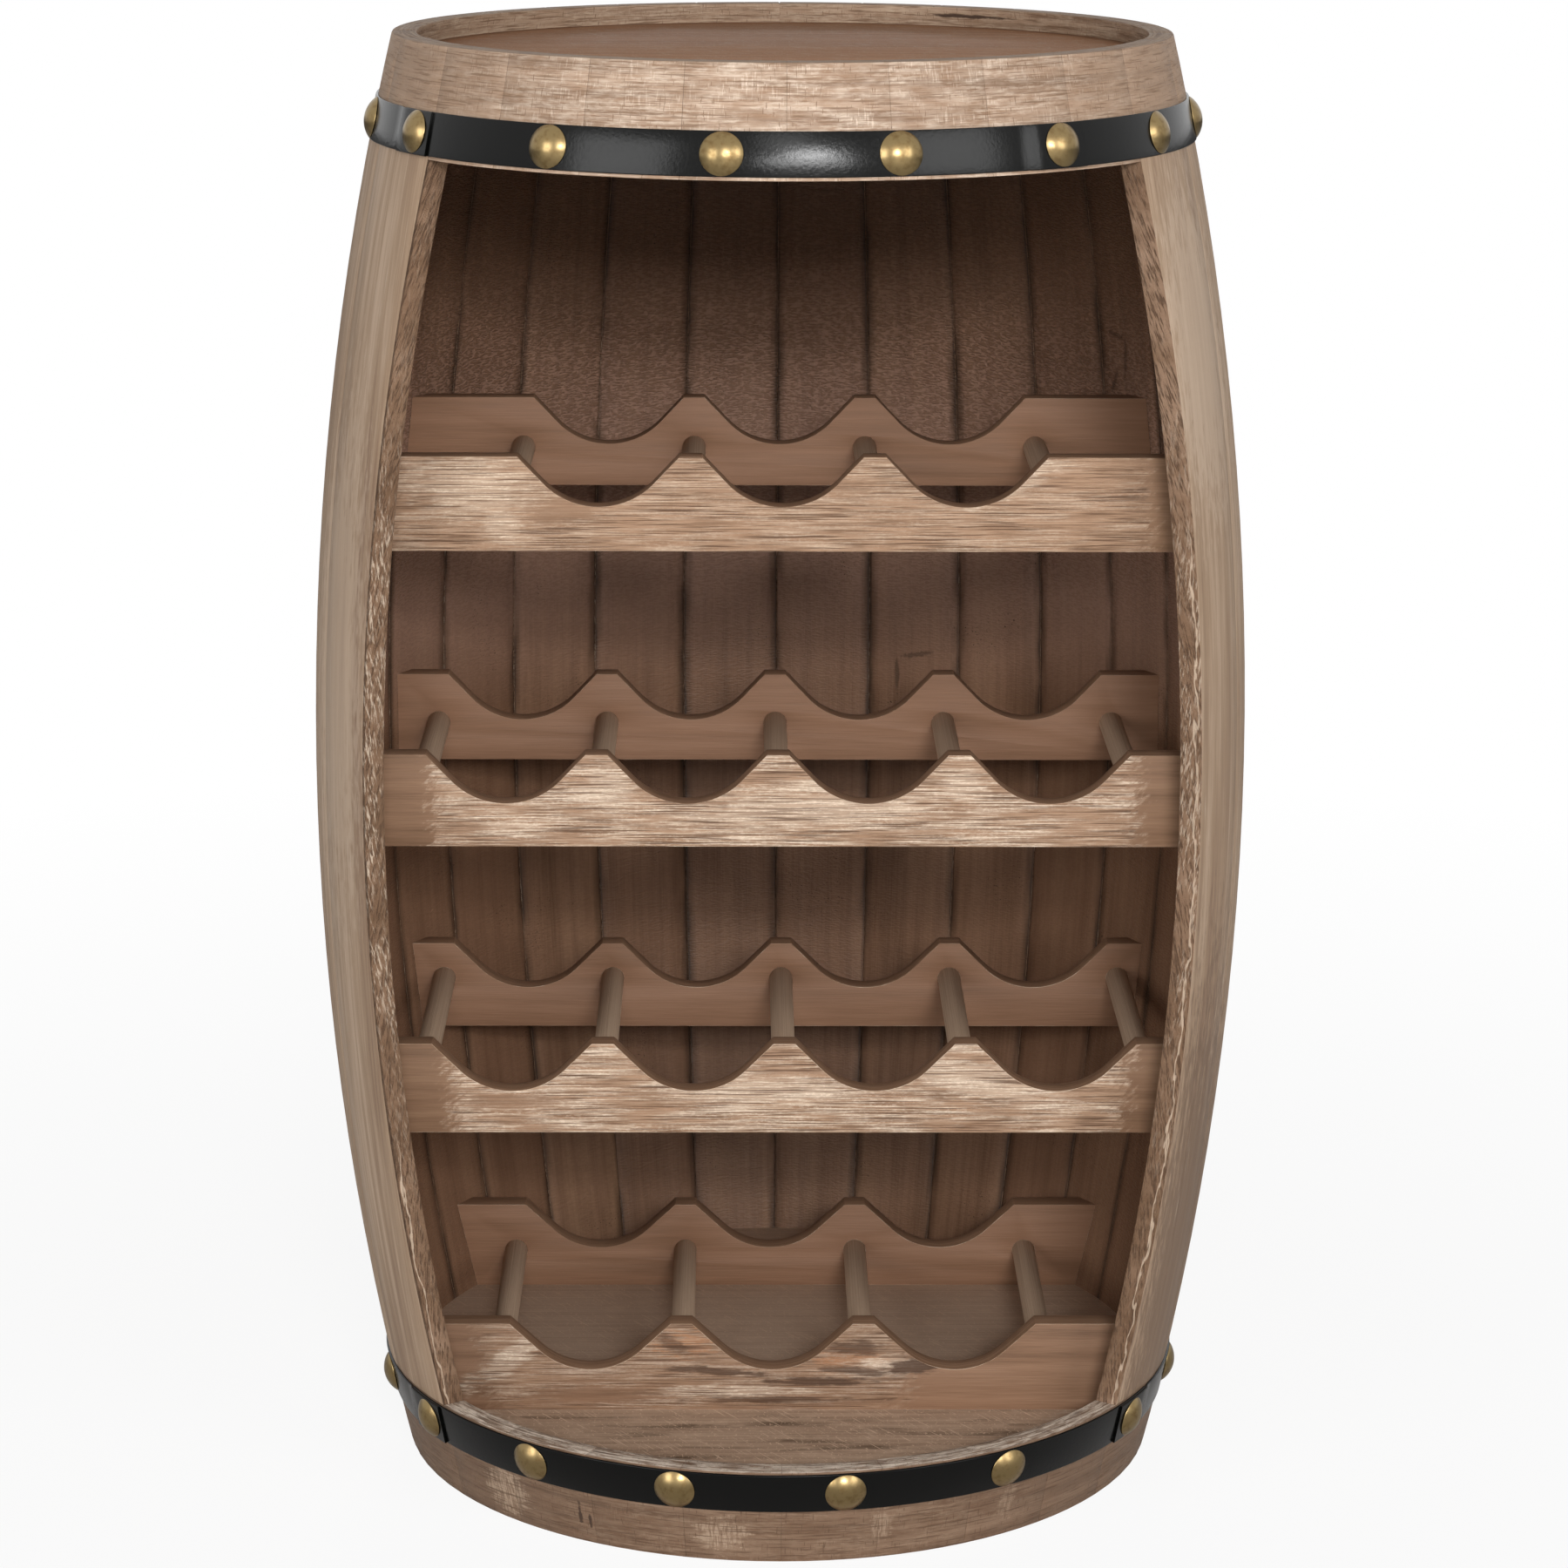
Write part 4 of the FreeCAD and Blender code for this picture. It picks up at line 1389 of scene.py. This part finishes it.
@dataclass(frozen=True)
class BandWood(Wood):
    """Bands above and below the opening: brushed both ways with the pale coat.

    Attributes:
        coat: colour of the brushed coat.
        cover: how much of the coat there is, from 0 to 1.
        spread: angle from the front at which the coat has gone.
        grey: tone that the band turns to at the sides.
        comb: how much the upright strokes show.
        pale_places: places where more of the coat lies.
        stains: dark stained places.
        stain_colour: their colour.
    """

    coat: str = "#e0cdba"
    cover: float = 0.8
    spread: float = 80.0
    grey: str = "#a78f7a"
    comb: float = 0.5
    pale_places: tuple[Patch, ...] = ()
    stains: tuple[Patch, ...] = ()
    stain_colour: str = "#46352a"

    def marks(self, wood: WoodGraph, colour: Socket, height: Socket) -> Look:
        """Fine level brushing, upright strokes, mottling and placed patches."""
        level = wood.streaks(0.9, 46.0, 0.44, 0.58, 3.0, 3.0)
        mottle = wood.streaks(1.4, 6.0, 0.42, 0.62, 4.0, 19.0)
        upright = wood.streaks(34.0, 1.1, 0.56, 0.66, 1.0, 37.0)
        where = wood.streaks(80.0, 24.0, 0.48, 0.60, 1.0, 39.0)
        upright = wood.add("Math MULTIPLY", upright, where)
        broad = wood.streaks(60.0, 16.0, 0.36, 0.64, 2.0, 53.0)
        cloud = wood.streaks(14.0, 34.0, 0.38, 0.58, 2.0, 43.0)
        size = wood.add("Math ABSOLUTE", wood.degrees)
        middle = wood.add("MapRange", size, self.spread, 12.0, 0.0, self.cover,
                          interpolation_type="SMOOTHSTEP")
        side = wood.add("MapRange", size, self.spread / 3, self.spread, 0.0, 0.6)
        share = wood.add("Math MULTIPLY", wood.weighed((level, 0.50), (mottle, 0.45)),
                         wood.add("MapRange", cloud, 0.0, 1.0, 0.30))
        share = wood.weighed((broad, 0.26), (upright, self.comb), start=share)
        share = wood.add("Math MULTIPLY", share, middle)
        strokes = wood.streaks(30.0, 1.6, 0.36, 0.60, 2.0, 65.0)
        extra = wood.add("Math MULTIPLY", wood.patches(self.pale_places),
                         wood.add("MapRange", strokes, 0.0, 1.0, 0.3))
        share = wood.add("Math MAXIMUM", share, extra)
        gaps = wood.streaks(0.9, 30.0, 0.53, 0.64, 3.0, 71.0)
        dents = wood.streaks(10.0, 1.0, 0.66, 0.72, 1.0, 57.0)
        gaps = wood.weighed((wood.add("Math MAXIMUM", gaps, dents), 0.75))
        colour = wood.layered(colour, [
            (side, self.grey), (share, self.coat), (gaps, self.dark),
            (wood.patches(self.stains), self.stain_colour)])
        return colour, wood.weighed((mottle, 0.8), start=height)


@dataclass(frozen=True)
class RailWood(Wood):
    """Front rails: plain stain at the ends, and rubbed through and dry-brushed between.

    Attributes:
        rubbed: wood where the stain is rubbed away.
        coat: whitish coat on the grain's ridges.
        groove: stain left in the grain's grooves.
        plain_left: width left plain at the left wall, in mm.
        plain_right: the same at the right wall.
        worn: how strongly the brushed part shows.
        whiter: places with more of the coat.
        plainer: places where the stain is left.
        stains: dark blots.
        stain_colour: their colour.
        glow: places with an orange tint.
        tint: colour of the tint.
        belly: inside radius of the wall at the belly, in mm.
        bow: radius of the inside's bow, in mm.
    """

    rubbed: str = "#a28167"
    coat: str = "#dcc7b1"
    groove: str = "#5a4130"
    plain_left: float = 12.0
    plain_right: float = 25.0
    worn: float = 1.0
    whiter: tuple[Patch, ...] = ()
    plainer: tuple[Patch, ...] = ()
    stains: tuple[Patch, ...] = ()
    stain_colour: str = "#453028"
    glow: tuple[Patch, ...] = ()
    tint: str = "#ad7750"
    belly: float = 247.0
    bow: float = 1695.0

    def near_wall(self, wood: WoodGraph) -> Socket:
        """Share of the brushed coat by how near the wall is."""
        ragged = wood.streaks(3.0, 8.0, 0.2, 0.8, 4.0, 4.0, 35.0)
        gap = wood.weighed((ragged, 16.0), start=wood.depth_in(self.belly, self.bow))
        right = wood.add("Math GREATER_THAN", wood.x, 0.0)
        plain = wood.add("Mix", right, at={2: self.plain_left, 3: self.plain_right})
        return wood.add("MapRange", wood.add("Math SUBTRACT", gap, plain), 4.0, 16.0,
                        interpolation_type="SMOOTHSTEP")

    def marks(self, wood: WoodGraph, colour: Socket, height: Socket) -> Look:
        """Rubbed wood with pale streaks and dark lines, and the placed patches."""
        white = wood.patches(self.whiter)
        area = wood.add("Math MAXIMUM", self.near_wall(wood), white)
        left = wood.add("Math SUBTRACT", 1.0, wood.patches(self.plainer))
        area = wood.add("Math MULTIPLY", area, left)
        fine = wood.streaks(0.9, 42.0, 0.42, 0.58, 3.0, 3.0)
        speck = wood.streaks(1.1, 3.0, 0.48, 0.60, 3.0, 5.0)
        cloud = wood.streaks(8.0, 60.0, 0.38, 0.58, 3.0, 43.0)
        lift = wood.add("MapRange", wood.add("Math MAXIMUM", cloud, white), 0.0, 1.0,
                        0.12, 1.0)
        pale = wood.weighed((fine, 0.7), (speck, 0.3))
        pale = wood.add("Math MULTIPLY", pale, lift)
        pale = wood.add("Math MAXIMUM", pale, wood.weighed((white, 0.35)))
        pale = wood.add("Math MULTIPLY", pale, area)
        thick = wood.add("MapRange", white, 0.0, 1.0, self.worn)
        pale = wood.add("Math MULTIPLY", pale, thick)
        under = wood.streaks(3.0, 34.0, 0.34, 0.58, 3.0, 91.0)
        under = wood.add("MapRange", under, 0.0, 1.0, 0.15)
        under = wood.add("Math MULTIPLY", under, area)
        lines = wood.streaks(0.8, 60.0, 0.54, 0.62, 2.0, 83.0)
        cuts = wood.streaks(1.6, 70.0, 0.63, 0.68, 2.0, 87.0)
        lines = wood.add("Math MAXIMUM", lines, cuts)
        lines = wood.weighed((wood.add("Math MULTIPLY", lines, area), 0.85))
        glow = wood.weighed((wood.patches(self.glow, 0.7), 0.5))
        colour = wood.layered(colour, [
            (under, self.rubbed), (glow, self.tint), (pale, self.coat),
            (lines, self.groove), (wood.patches(self.stains), self.stain_colour)])
        ridge = wood.add("Math MULTIPLY", fine, area)
        return colour, wood.weighed((ridge, 1.5), start=height)


@dataclass(frozen=True)
class BoardWood(Wood):
    """The round boards: plain stain with specks, small scratches, and painted shade where
    the top board meets the wall.

    Attributes:
        speck: colour of the specks and scratches.
        stain_front: stain in front of the rail.
        worn: colour that the front of the floor is worn to.
        brushed: pale coat on the floor's front edge.
        shade: dark streaks in the worn part, and the painted shade at the top board's
            wall.
        front: places front to back over which the wear comes in, in mm.
        front_edge: radii over which the pale coat comes in.
        corner: radii over which painted shade darkens the top board at its wall.
        parting: height between the floor board and the top board.
    """

    speck: str = "#c2a68e"
    stain_front: str = "#8c715c"
    worn: str = "#a98f79"
    brushed: str = "#c9b8a6"
    shade: str = "#4c3a2b"
    front: tuple[float, float] = (-92.0, -100.0)
    front_edge: tuple[float, float] = (184.0, 198.0)
    corner: tuple[float, float] = (191.0, 202.0)
    parting: float = 400.0

    def marks(self, wood: WoodGraph, colour: Socket, height: Socket) -> Look:
        """Specks all over, wear with dark streaks in front of the rail, and painted shade
        at the top board's wall.
        """
        flat = wood.add("CombineXYZ", wood.y, wood.x)
        specks = wood.streaks(2.6, 1.6, 0.60, 0.68, 2.0, 3.0, on=flat)
        scratch = wood.streaks(24.0, 1.2, 0.64, 0.69, 1.0, 5.0, 35.0, on=flat)
        mottle = wood.streaks(9.0, 16.0, 0.50, 0.68, 3.0, 25.0, on=flat)
        specks = wood.add("Math MAXIMUM", specks, wood.weighed((mottle, 0.35)))
        specks = wood.weighed((wood.add("Math MAXIMUM", specks, scratch), 0.85))
        front = wood.add("Math MULTIPLY", wood.add("MapRange", wood.y, *self.front),
                         wood.add("Math LESS_THAN", wood.z, self.parting))
        base = wood.weighed((front, 0.75))
        wear = wood.streaks(3.0, 130.0, 0.36, 0.70, 4.0, 8.0, on=flat)
        wear = wood.add("Math MULTIPLY", wear, front)
        shade = wood.streaks(11.0, 90.0, 0.50, 0.72, 4.0, 15.0, on=flat)
        shade = wood.weighed((wood.add("Math MULTIPLY", shade, front), 0.85))
        # Painted shade: the top board darkens towards the wall, where the rim shades it.
        corner = wood.add("MapRange", wood.radius, *self.corner, 0.0, 0.85)
        high = wood.add("Math GREATER_THAN", wood.z, self.parting)
        corner = wood.add("Math MULTIPLY", corner, high)
        rough = wood.streaks(2.5, 9.0, 0.42, 0.58, 4.0, 35.0, on=flat)
        edge = wood.add("MapRange", wood.radius, *self.front_edge)
        edge = wood.add("Math MULTIPLY", wood.add("Math MULTIPLY", edge, rough), front)
        return wood.layered(colour, [
            (base, self.stain_front), (wear, self.worn), (shade, self.shade),
            (edge, self.brushed), (specks, self.speck), (corner, self.shade)]), height


@dataclass(frozen=True)
class PaintedSteel:
    """Rolled mild steel under satin black paint, with the paint's orange peel.

    Attributes:
        name: name of the material.
        colour: the paint.
        roughness: roughness of the paint.
        gloss: how much it reflects, 0.5 being a full coat.
        peel: size of the orange peel, in mm.
        peel_depth: its depth, in mm.
    """

    name: str = "satin_black_painted_steel"
    colour: str = "#080807"
    roughness: float = 0.17
    gloss: float = 0.21
    peel: float = 1.8
    peel_depth: float = 0.06

    def material(self) -> bpy.types.Material:
        """The finish as nodes."""
        graph = Graph(bpy.data.materials.new(self.name))
        peel = graph.clouds(self.peel, 3.0)
        bump = graph.add("Bump", Strength=1.0, Distance=self.peel_depth * MM,
                         Height=peel)
        rough = graph.add("MapRange", peel, 0.0, 1.0, self.roughness - 0.04,
                          self.roughness + 0.08)
        shader = graph.add("BsdfPrincipled", Base_Color=linear(self.colour),
                           Roughness=rough, Normal=bump, IOR=1.45,
                           Specular_IOR_Level=self.gloss)
        graph.add("OutputMaterial", Surface=shader)
        return graph.owner


@dataclass(frozen=True)
class AntiqueBrass:
    """Stamped brass, darkened and rubbed back, so the domes keep brown clouds.

    Attributes:
        name: name of the material.
        bright: brass where it is rubbed.
        tarnish: brass in the brown clouds.
        cloud: size of the clouds, in mm.
        roughness: roughness where it is rubbed.
    """

    name: str = "antique_brass"
    bright: str = "#8d7954"
    tarnish: str = "#6f5837"
    cloud: float = 3.5
    roughness: float = 0.29

    def material(self) -> bpy.types.Material:
        """The finish as nodes."""
        graph = Graph(bpy.data.materials.new(self.name))
        share = graph.add("MapRange", graph.clouds(self.cloud, 5.0), 0.48, 0.80)
        colour = graph.layered(linear(self.bright), [(share, self.tarnish)])
        rough = graph.add("MapRange", share, 0.0, 1.0, self.roughness,
                          self.roughness + 0.15)
        shader = graph.add("BsdfPrincipled", Base_Color=colour, Metallic=1.0,
                           Roughness=rough)
        graph.add("OutputMaterial", Surface=shader)
        return graph.owner


@dataclass
class Studio:
    """Pale floor, soft lamps and the camera at the photograph's angle.

    Attributes:
        camera_place: where the camera stands, as fitted to the photograph.
        lens: its focal length in mm, on a sensor of the next size.
        sensor: width of the sensor in mm.
        yaw: its turn to the left, in degrees.
        pitch: how far it looks down, in degrees.
        roll: its turn about its own axis, in degrees.
        aim: point that the lamps look at.
        floor_size: side of the floor sheet.
        floor_glow: brightness of the floor for the eye close to the rack.
        glow_reach: distances over which the floor turns to pure white.
        room_level: strength of the soft light from all round.
        lamps: name, place, size and power of each softbox.
    """

    camera_place: tuple[float, float, float] = (-0.0248, -2.4964, 0.992)
    lens: float = 104.59
    sensor: float = 36.0
    yaw: float = -0.6209
    pitch: float = 13.799
    roll: float = 0.2214
    aim: tuple[float, float, float] = (0, 0, 0.45)
    floor_size: float = 30.0
    floor_glow: float = 0.9
    glow_reach: tuple[float, float] = (0.4, 1.6)
    room_level: float = 0.032
    lamps: tuple[tuple, ...] = (
        ("key_softbox", (0.5, -5.0, 1.93), (2.0, 0.4), 76),
        ("shine_softbox", (0.65, -5.0, 2.38), (1.0, 0.3), 80),
        ("high_softbox", (0, -4.3, 2.9), (1.0, 1.0), 12),
        ("left_softbox", (-3.5, -3.5, 1.7), (2.4, 2.4), 96),
        ("right_softbox", (3.5, -3.4, 2.1), (2.4, 2.4), 89),
        ("rear_softbox", (0, 3.6, 0.42), (0.8, 0.7), 70),
    )

    def camera(self) -> None:
        """Set up the camera."""
        data = bpy.data.cameras.new("camera")
        data.lens = self.lens
        data.sensor_width = self.sensor
        data.sensor_fit = "AUTO"
        data.clip_end = 50
        eye = bpy.data.objects.new("camera", data)
        turn = (Matrix.Rotation(math.radians(self.yaw), 4, "Z")
                @ Matrix.Rotation(math.radians(90 - self.pitch), 4, "X")
                @ Matrix.Rotation(math.radians(self.roll), 4, "Z"))
        eye.matrix_world = Matrix.Translation(self.camera_place) @ turn
        bpy.context.collection.objects.link(eye)
        bpy.context.scene.camera = eye

    def lamp(self, name: str, place: tuple[float, float, float],
             size: tuple[float, float], power: float) -> None:
        """Hang one softbox that looks at the rack."""
        data = bpy.data.lights.new(name, "AREA")
        data.shape = "RECTANGLE"
        data.size, data.size_y = size
        data.energy = power
        lamp = bpy.data.objects.new(name, data)
        way = Vector(self.aim) - Vector(place)
        lamp.matrix_world = (Matrix.Translation(place)
                             @ way.to_track_quat("-Z", "Y").to_matrix().to_4x4())
        bpy.context.collection.objects.link(lamp)

    def floor(self) -> None:
        """A wide pale floor that keeps the rack's shadow."""
        sheet = add_primitive("plane", "floor", size=self.floor_size)
        graph = Graph(bpy.data.materials.new("white_paper_floor"))
        shader = graph.add("BsdfDiffuse", Color=linear("#f4f4f4"))
        glow = graph.add("Emission", Color=linear("#ffffff"), Strength=1.0)
        place = graph.add("TexCoord", take="Object")
        reach = graph.add("VectorMath LENGTH", place, take="Value")
        level = graph.add("MapRange", reach, *self.glow_reach, self.floor_glow)
        path = graph.add("LightPath", take="Is Camera Ray")
        share = graph.add("Math MULTIPLY", path, level)
        both = graph.add("MixShader", share, shader, glow)
        graph.add("OutputMaterial", Surface=both)
        sheet.data.materials.append(graph.owner)

    def world(self) -> None:
        """White surroundings for the eye, and a plain soft level of light."""
        world = bpy.data.worlds.new("white_room")
        bpy.context.scene.world = world
        graph = Graph(world)
        seen = graph.add("LightPath", take="Is Camera Ray")
        for other in ("Is Glossy Ray", "Is Transmission Ray"):
            seen = graph.add("Math MAXIMUM", seen, graph.add("LightPath", take=other))
        level = graph.add("MapRange", seen, 0.0, 1.0, self.room_level, 1.0)
        glow = graph.add("Background", Color=linear("#ffffff"), Strength=level)
        graph.add("OutputWorld", Surface=glow)

    def build(self) -> None:
        """Set the whole studio up."""
        self.camera()
        self.floor()
        self.world()
        for softbox in self.lamps:
            self.lamp(*softbox)
        bpy.context.scene.view_settings.view_transform = "Standard"


class Finishes:
    """Every finish of the rack, made once."""

    def __init__(self) -> None:
        """Make the materials."""
        self.make_wall()
        self.make_boards_and_rods()
        self.front_rails = {number: rail.material()
                            for number, rail in enumerate(FRONT_RAILS, 1)}
        self.steel = PaintedSteel().material()
        self.brass = AntiqueBrass().material()

    def make_wall(self) -> None:
        """Finishes of the staves: taupe outside, brown inside, brushed at the ends."""
        up, band = Run.UP_THE_BARREL, Run.ROUND_THE_BARREL
        # Planed pine under wiped stain: an even, dull taupe with soft grain, and painted
        # shade low on the right side.
        self.outside = SideWood(
            "taupe_stained_pine_stave", up, "#8a705b", "#a0876f", "#b8a08a",
            band=4.5, contrast=1.05, painted_shade_places=(Patch(120, 300, 230, 70, 0, 0.75),),
            rubbed=(Patch(640, 290, 110, 60, 0, 0.6),
                    Patch(470, -300, 180, 50, 0, 0.5))).material()
        # Stain sprayed on bare pine: a soft sheen broken up by orange peel.
        self.inside = InsideWood(
            "sprayed_pine_stave_inside", up, "#5a412f", "#7d5e49", "#8e6f56",
            contrast=0.6, relief=0.45, roughness=0.45,
            curls=(Patch(392, 709, 13, 2.0, 0, 0.6),
                   Patch(404, 696, 2.0, 15, -12, 0.55),
                   Patch(602, 529, 16, 2.0, 8, 0.6),
                   Patch(616, 537, 2.0, 9, 10, 0.6),
                   Patch(587, 542, 9, 2.2, 30, 0.6))).material()
        # Pine as the saw left it: torn grain that scatters the light.
        self.sawn = SawnWood("sawn_pine_edge", up, "#694f3a", "#836751", "#9c806a",
                             relief=0.35, roughness=0.65).material()
        # Pale coat brushed on nearly dry: chalky streaks over the brown.
        self.crown = BandWood("dry_brushed_crown_band", band, "#7d624d", "#9a7c64",
                              "#b0927a", coat="#dcc9b6", cover=0.7).material()
        # The same coat worn thin: more of the brown shows through.
        self.rim = BandWood("worn_pine_rim", band, "#694f3c", "#8f745e", "#ad937c",
                            coat="#bda993", cover=0.55, spread=1000.0, comb=0.2,
                            stains=(Patch(643, 795, 40, 1.3),)).material()
        # The same coat at the foot: darker, greyer and less of it.
        self.lip = BandWood(
            "dry_brushed_bottom_band", band, "#5a4434", "#6f5542", "#826854",
            coat="#a8917b", cover=0.36, spread=75.0, grey="#7d6958", comb=0.3,
            pale_places=(Patch(-38, 16, 22, 14, 0, 0.9), Patch(-190, 19, 22, 20),
                         Patch(62, 20, 9, 14, 0, 0.6), Patch(150, 22, 8, 16, 0, 0.5)),
            stains=(Patch(-131, 17, 1.6, 9), Patch(-124, 14, 1.4, 6))).material()
        # Edge rubbed nearly bare: a pale line along the front lip.
        self.lip_edge = BandWood("rubbed_pine_lip_edge", band, "#5f4838", "#7f6652",
                                 "#977d68", coat="#dccdbd", cover=1.3, spread=1000.0,
                                 comb=0.0).material()

    def make_boards_and_rods(self) -> None:
        """Finishes of the boards, the dowels, the rear rails and the rails' edges."""
        side = Run.SIDE_TO_SIDE
        # Planed pine under greyed stain: pale and flat with small scratches.
        self.floor_board = BoardWood("grey_stained_pine_floor", side, "#947d6b",
                                     "#ac937f", "#bda48f", contrast=0.7).material()
        # Planed pine under brown stain, unvarnished: warm and without shine; painted shade
        # darkens it at the wall.
        self.top_board = BoardWood("brown_stained_pine_top", side, "#966c50", "#b28363",
                                   "#c79977", gloss=0.02).material()
        # Planed pine under plain stain: even brown with faint grain.
        self.rear_rail = Wood("stained_pine_rear_rail", side, "#785943", "#88664f",
                              "#95725b", contrast=0.7).material()
        # Stain rubbed through at the edge: short pale streaks.
        self.rear_edge = Wood("rubbed_rear_rail_edge", side, "#8a6b55", "#ad8f76",
                              "#dcc8b2", length=14.0, contrast=2.0).material()
        # Planed pine under stain: brown with soft bands.
        self.rail_top = Wood("stained_rail_top", side, "#70543f", "#83654f",
                             "#93755e").material()
        # Edge sanded to bare pine: the palest flecks of the rails.
        self.rail_edge = Wood("rubbed_rail_edge", side, "#9a7c62", "#c2a78d", "#e0ccb6",
                              length=9.0, contrast=1.6).material()
        # Turned beech under grey stain: smooth, with hardly any grain.
        self.dowel = Wood("grey_stained_beech_dowel", Run.FRONT_TO_BACK, "#917a66",
                          "#ab937d", "#bca58d", contrast=0.7).material()


# Pine, stained and dry-brushed along the grain: whitish ridges over rubbed brown,
# one for each tier from the top, with the patches where the photograph has them.
FRONT_RAILS = (
    RailWood("dry_brushed_pine_rail_1", Run.SIDE_TO_SIDE, "#6d523d", "#85664e",
             "#96765d", plain_left=5.0, plain_right=20.0, seed=3.0, worn=0.55,
             coat="#d3bda6",
             whiter=(Patch(-168, 565, 46, 22, 10), Patch(-150, 545, 16, 12, 30),
                     Patch(120, 572, 42, 17, -30)),
             plainer=(Patch(-118, 553, 26, 10, -8, 0.8),
                      Patch(10, 568, 60, 9, 4, 0.5))),
    RailWood("dry_brushed_pine_rail_2", Run.SIDE_TO_SIDE, "#6d523d", "#84654e",
             "#93735a", plain_left=34.0, plain_right=30.0, seed=11.0,
             whiter=(Patch(15, 388, 95, 13, -4), Patch(-95, 400, 20, 14),
                     Patch(98, 402, 18, 12))),
    RailWood("dry_brushed_pine_rail_3", Run.SIDE_TO_SIDE, "#6b503b", "#80614a",
             "#8f7057", plain_left=32.0, plain_right=24.0, seed=23.0,
             whiter=(Patch(106, 235, 60, 14, 12), Patch(-10, 228, 60, 10)),
             plainer=(Patch(-150, 222, 40, 8, 0, 0.7),)),
    RailWood("dry_brushed_pine_rail_4", Run.SIDE_TO_SIDE, "#634a38", "#80614b",
             "#8e6e57", plain_left=22.0, plain_right=92.0, seed=37.0, worn=0.42,
             whiter=(Patch(-150, 72, 44, 9, -36), Patch(60, 66, 40, 9, -6),
                     Patch(-30, 52, 60, 5)),
             plainer=(Patch(-105, 50, 50, 7, 0, 0.9),),
             stains=(Patch(78, 67, 32, 6, -8, 0.9), Patch(42, 78, 20, 6, 0, 0.75),
                     Patch(22, 58, 40, 3.2, 0, 0.85), Patch(-36, 64, 34, 3.0, 4, 0.8),
                     Patch(-60, 80, 14, 5, 30, 0.6), Patch(-6, 47, 60, 2.4, 0, 0.7),
                     Patch(44, 64, 30, 3.2, 6, 0.8)),
             stain_colour="#4a3426", rubbed="#8f7058", coat="#d2bea9",
             glow=(Patch(-52, 80, 20, 9), Patch(40, 70, 26, 9))),
)


def main() -> None:
    """Build the rack piece by piece and set up the studio."""
    logging.basicConfig(level=logging.INFO, format="%(name)s: %(message)s")
    barrel = Barrel()
    finishes = Finishes()
    BarrelWall(barrel).build(finishes)
    Boards().build(finishes)
    for sizes in TIERS:
        Tier(barrel, sizes).build(finishes)
    for level in Level:
        Hoop(barrel, level).build(finishes)
    Studio().build()


if __name__ == "__main__":
    main()
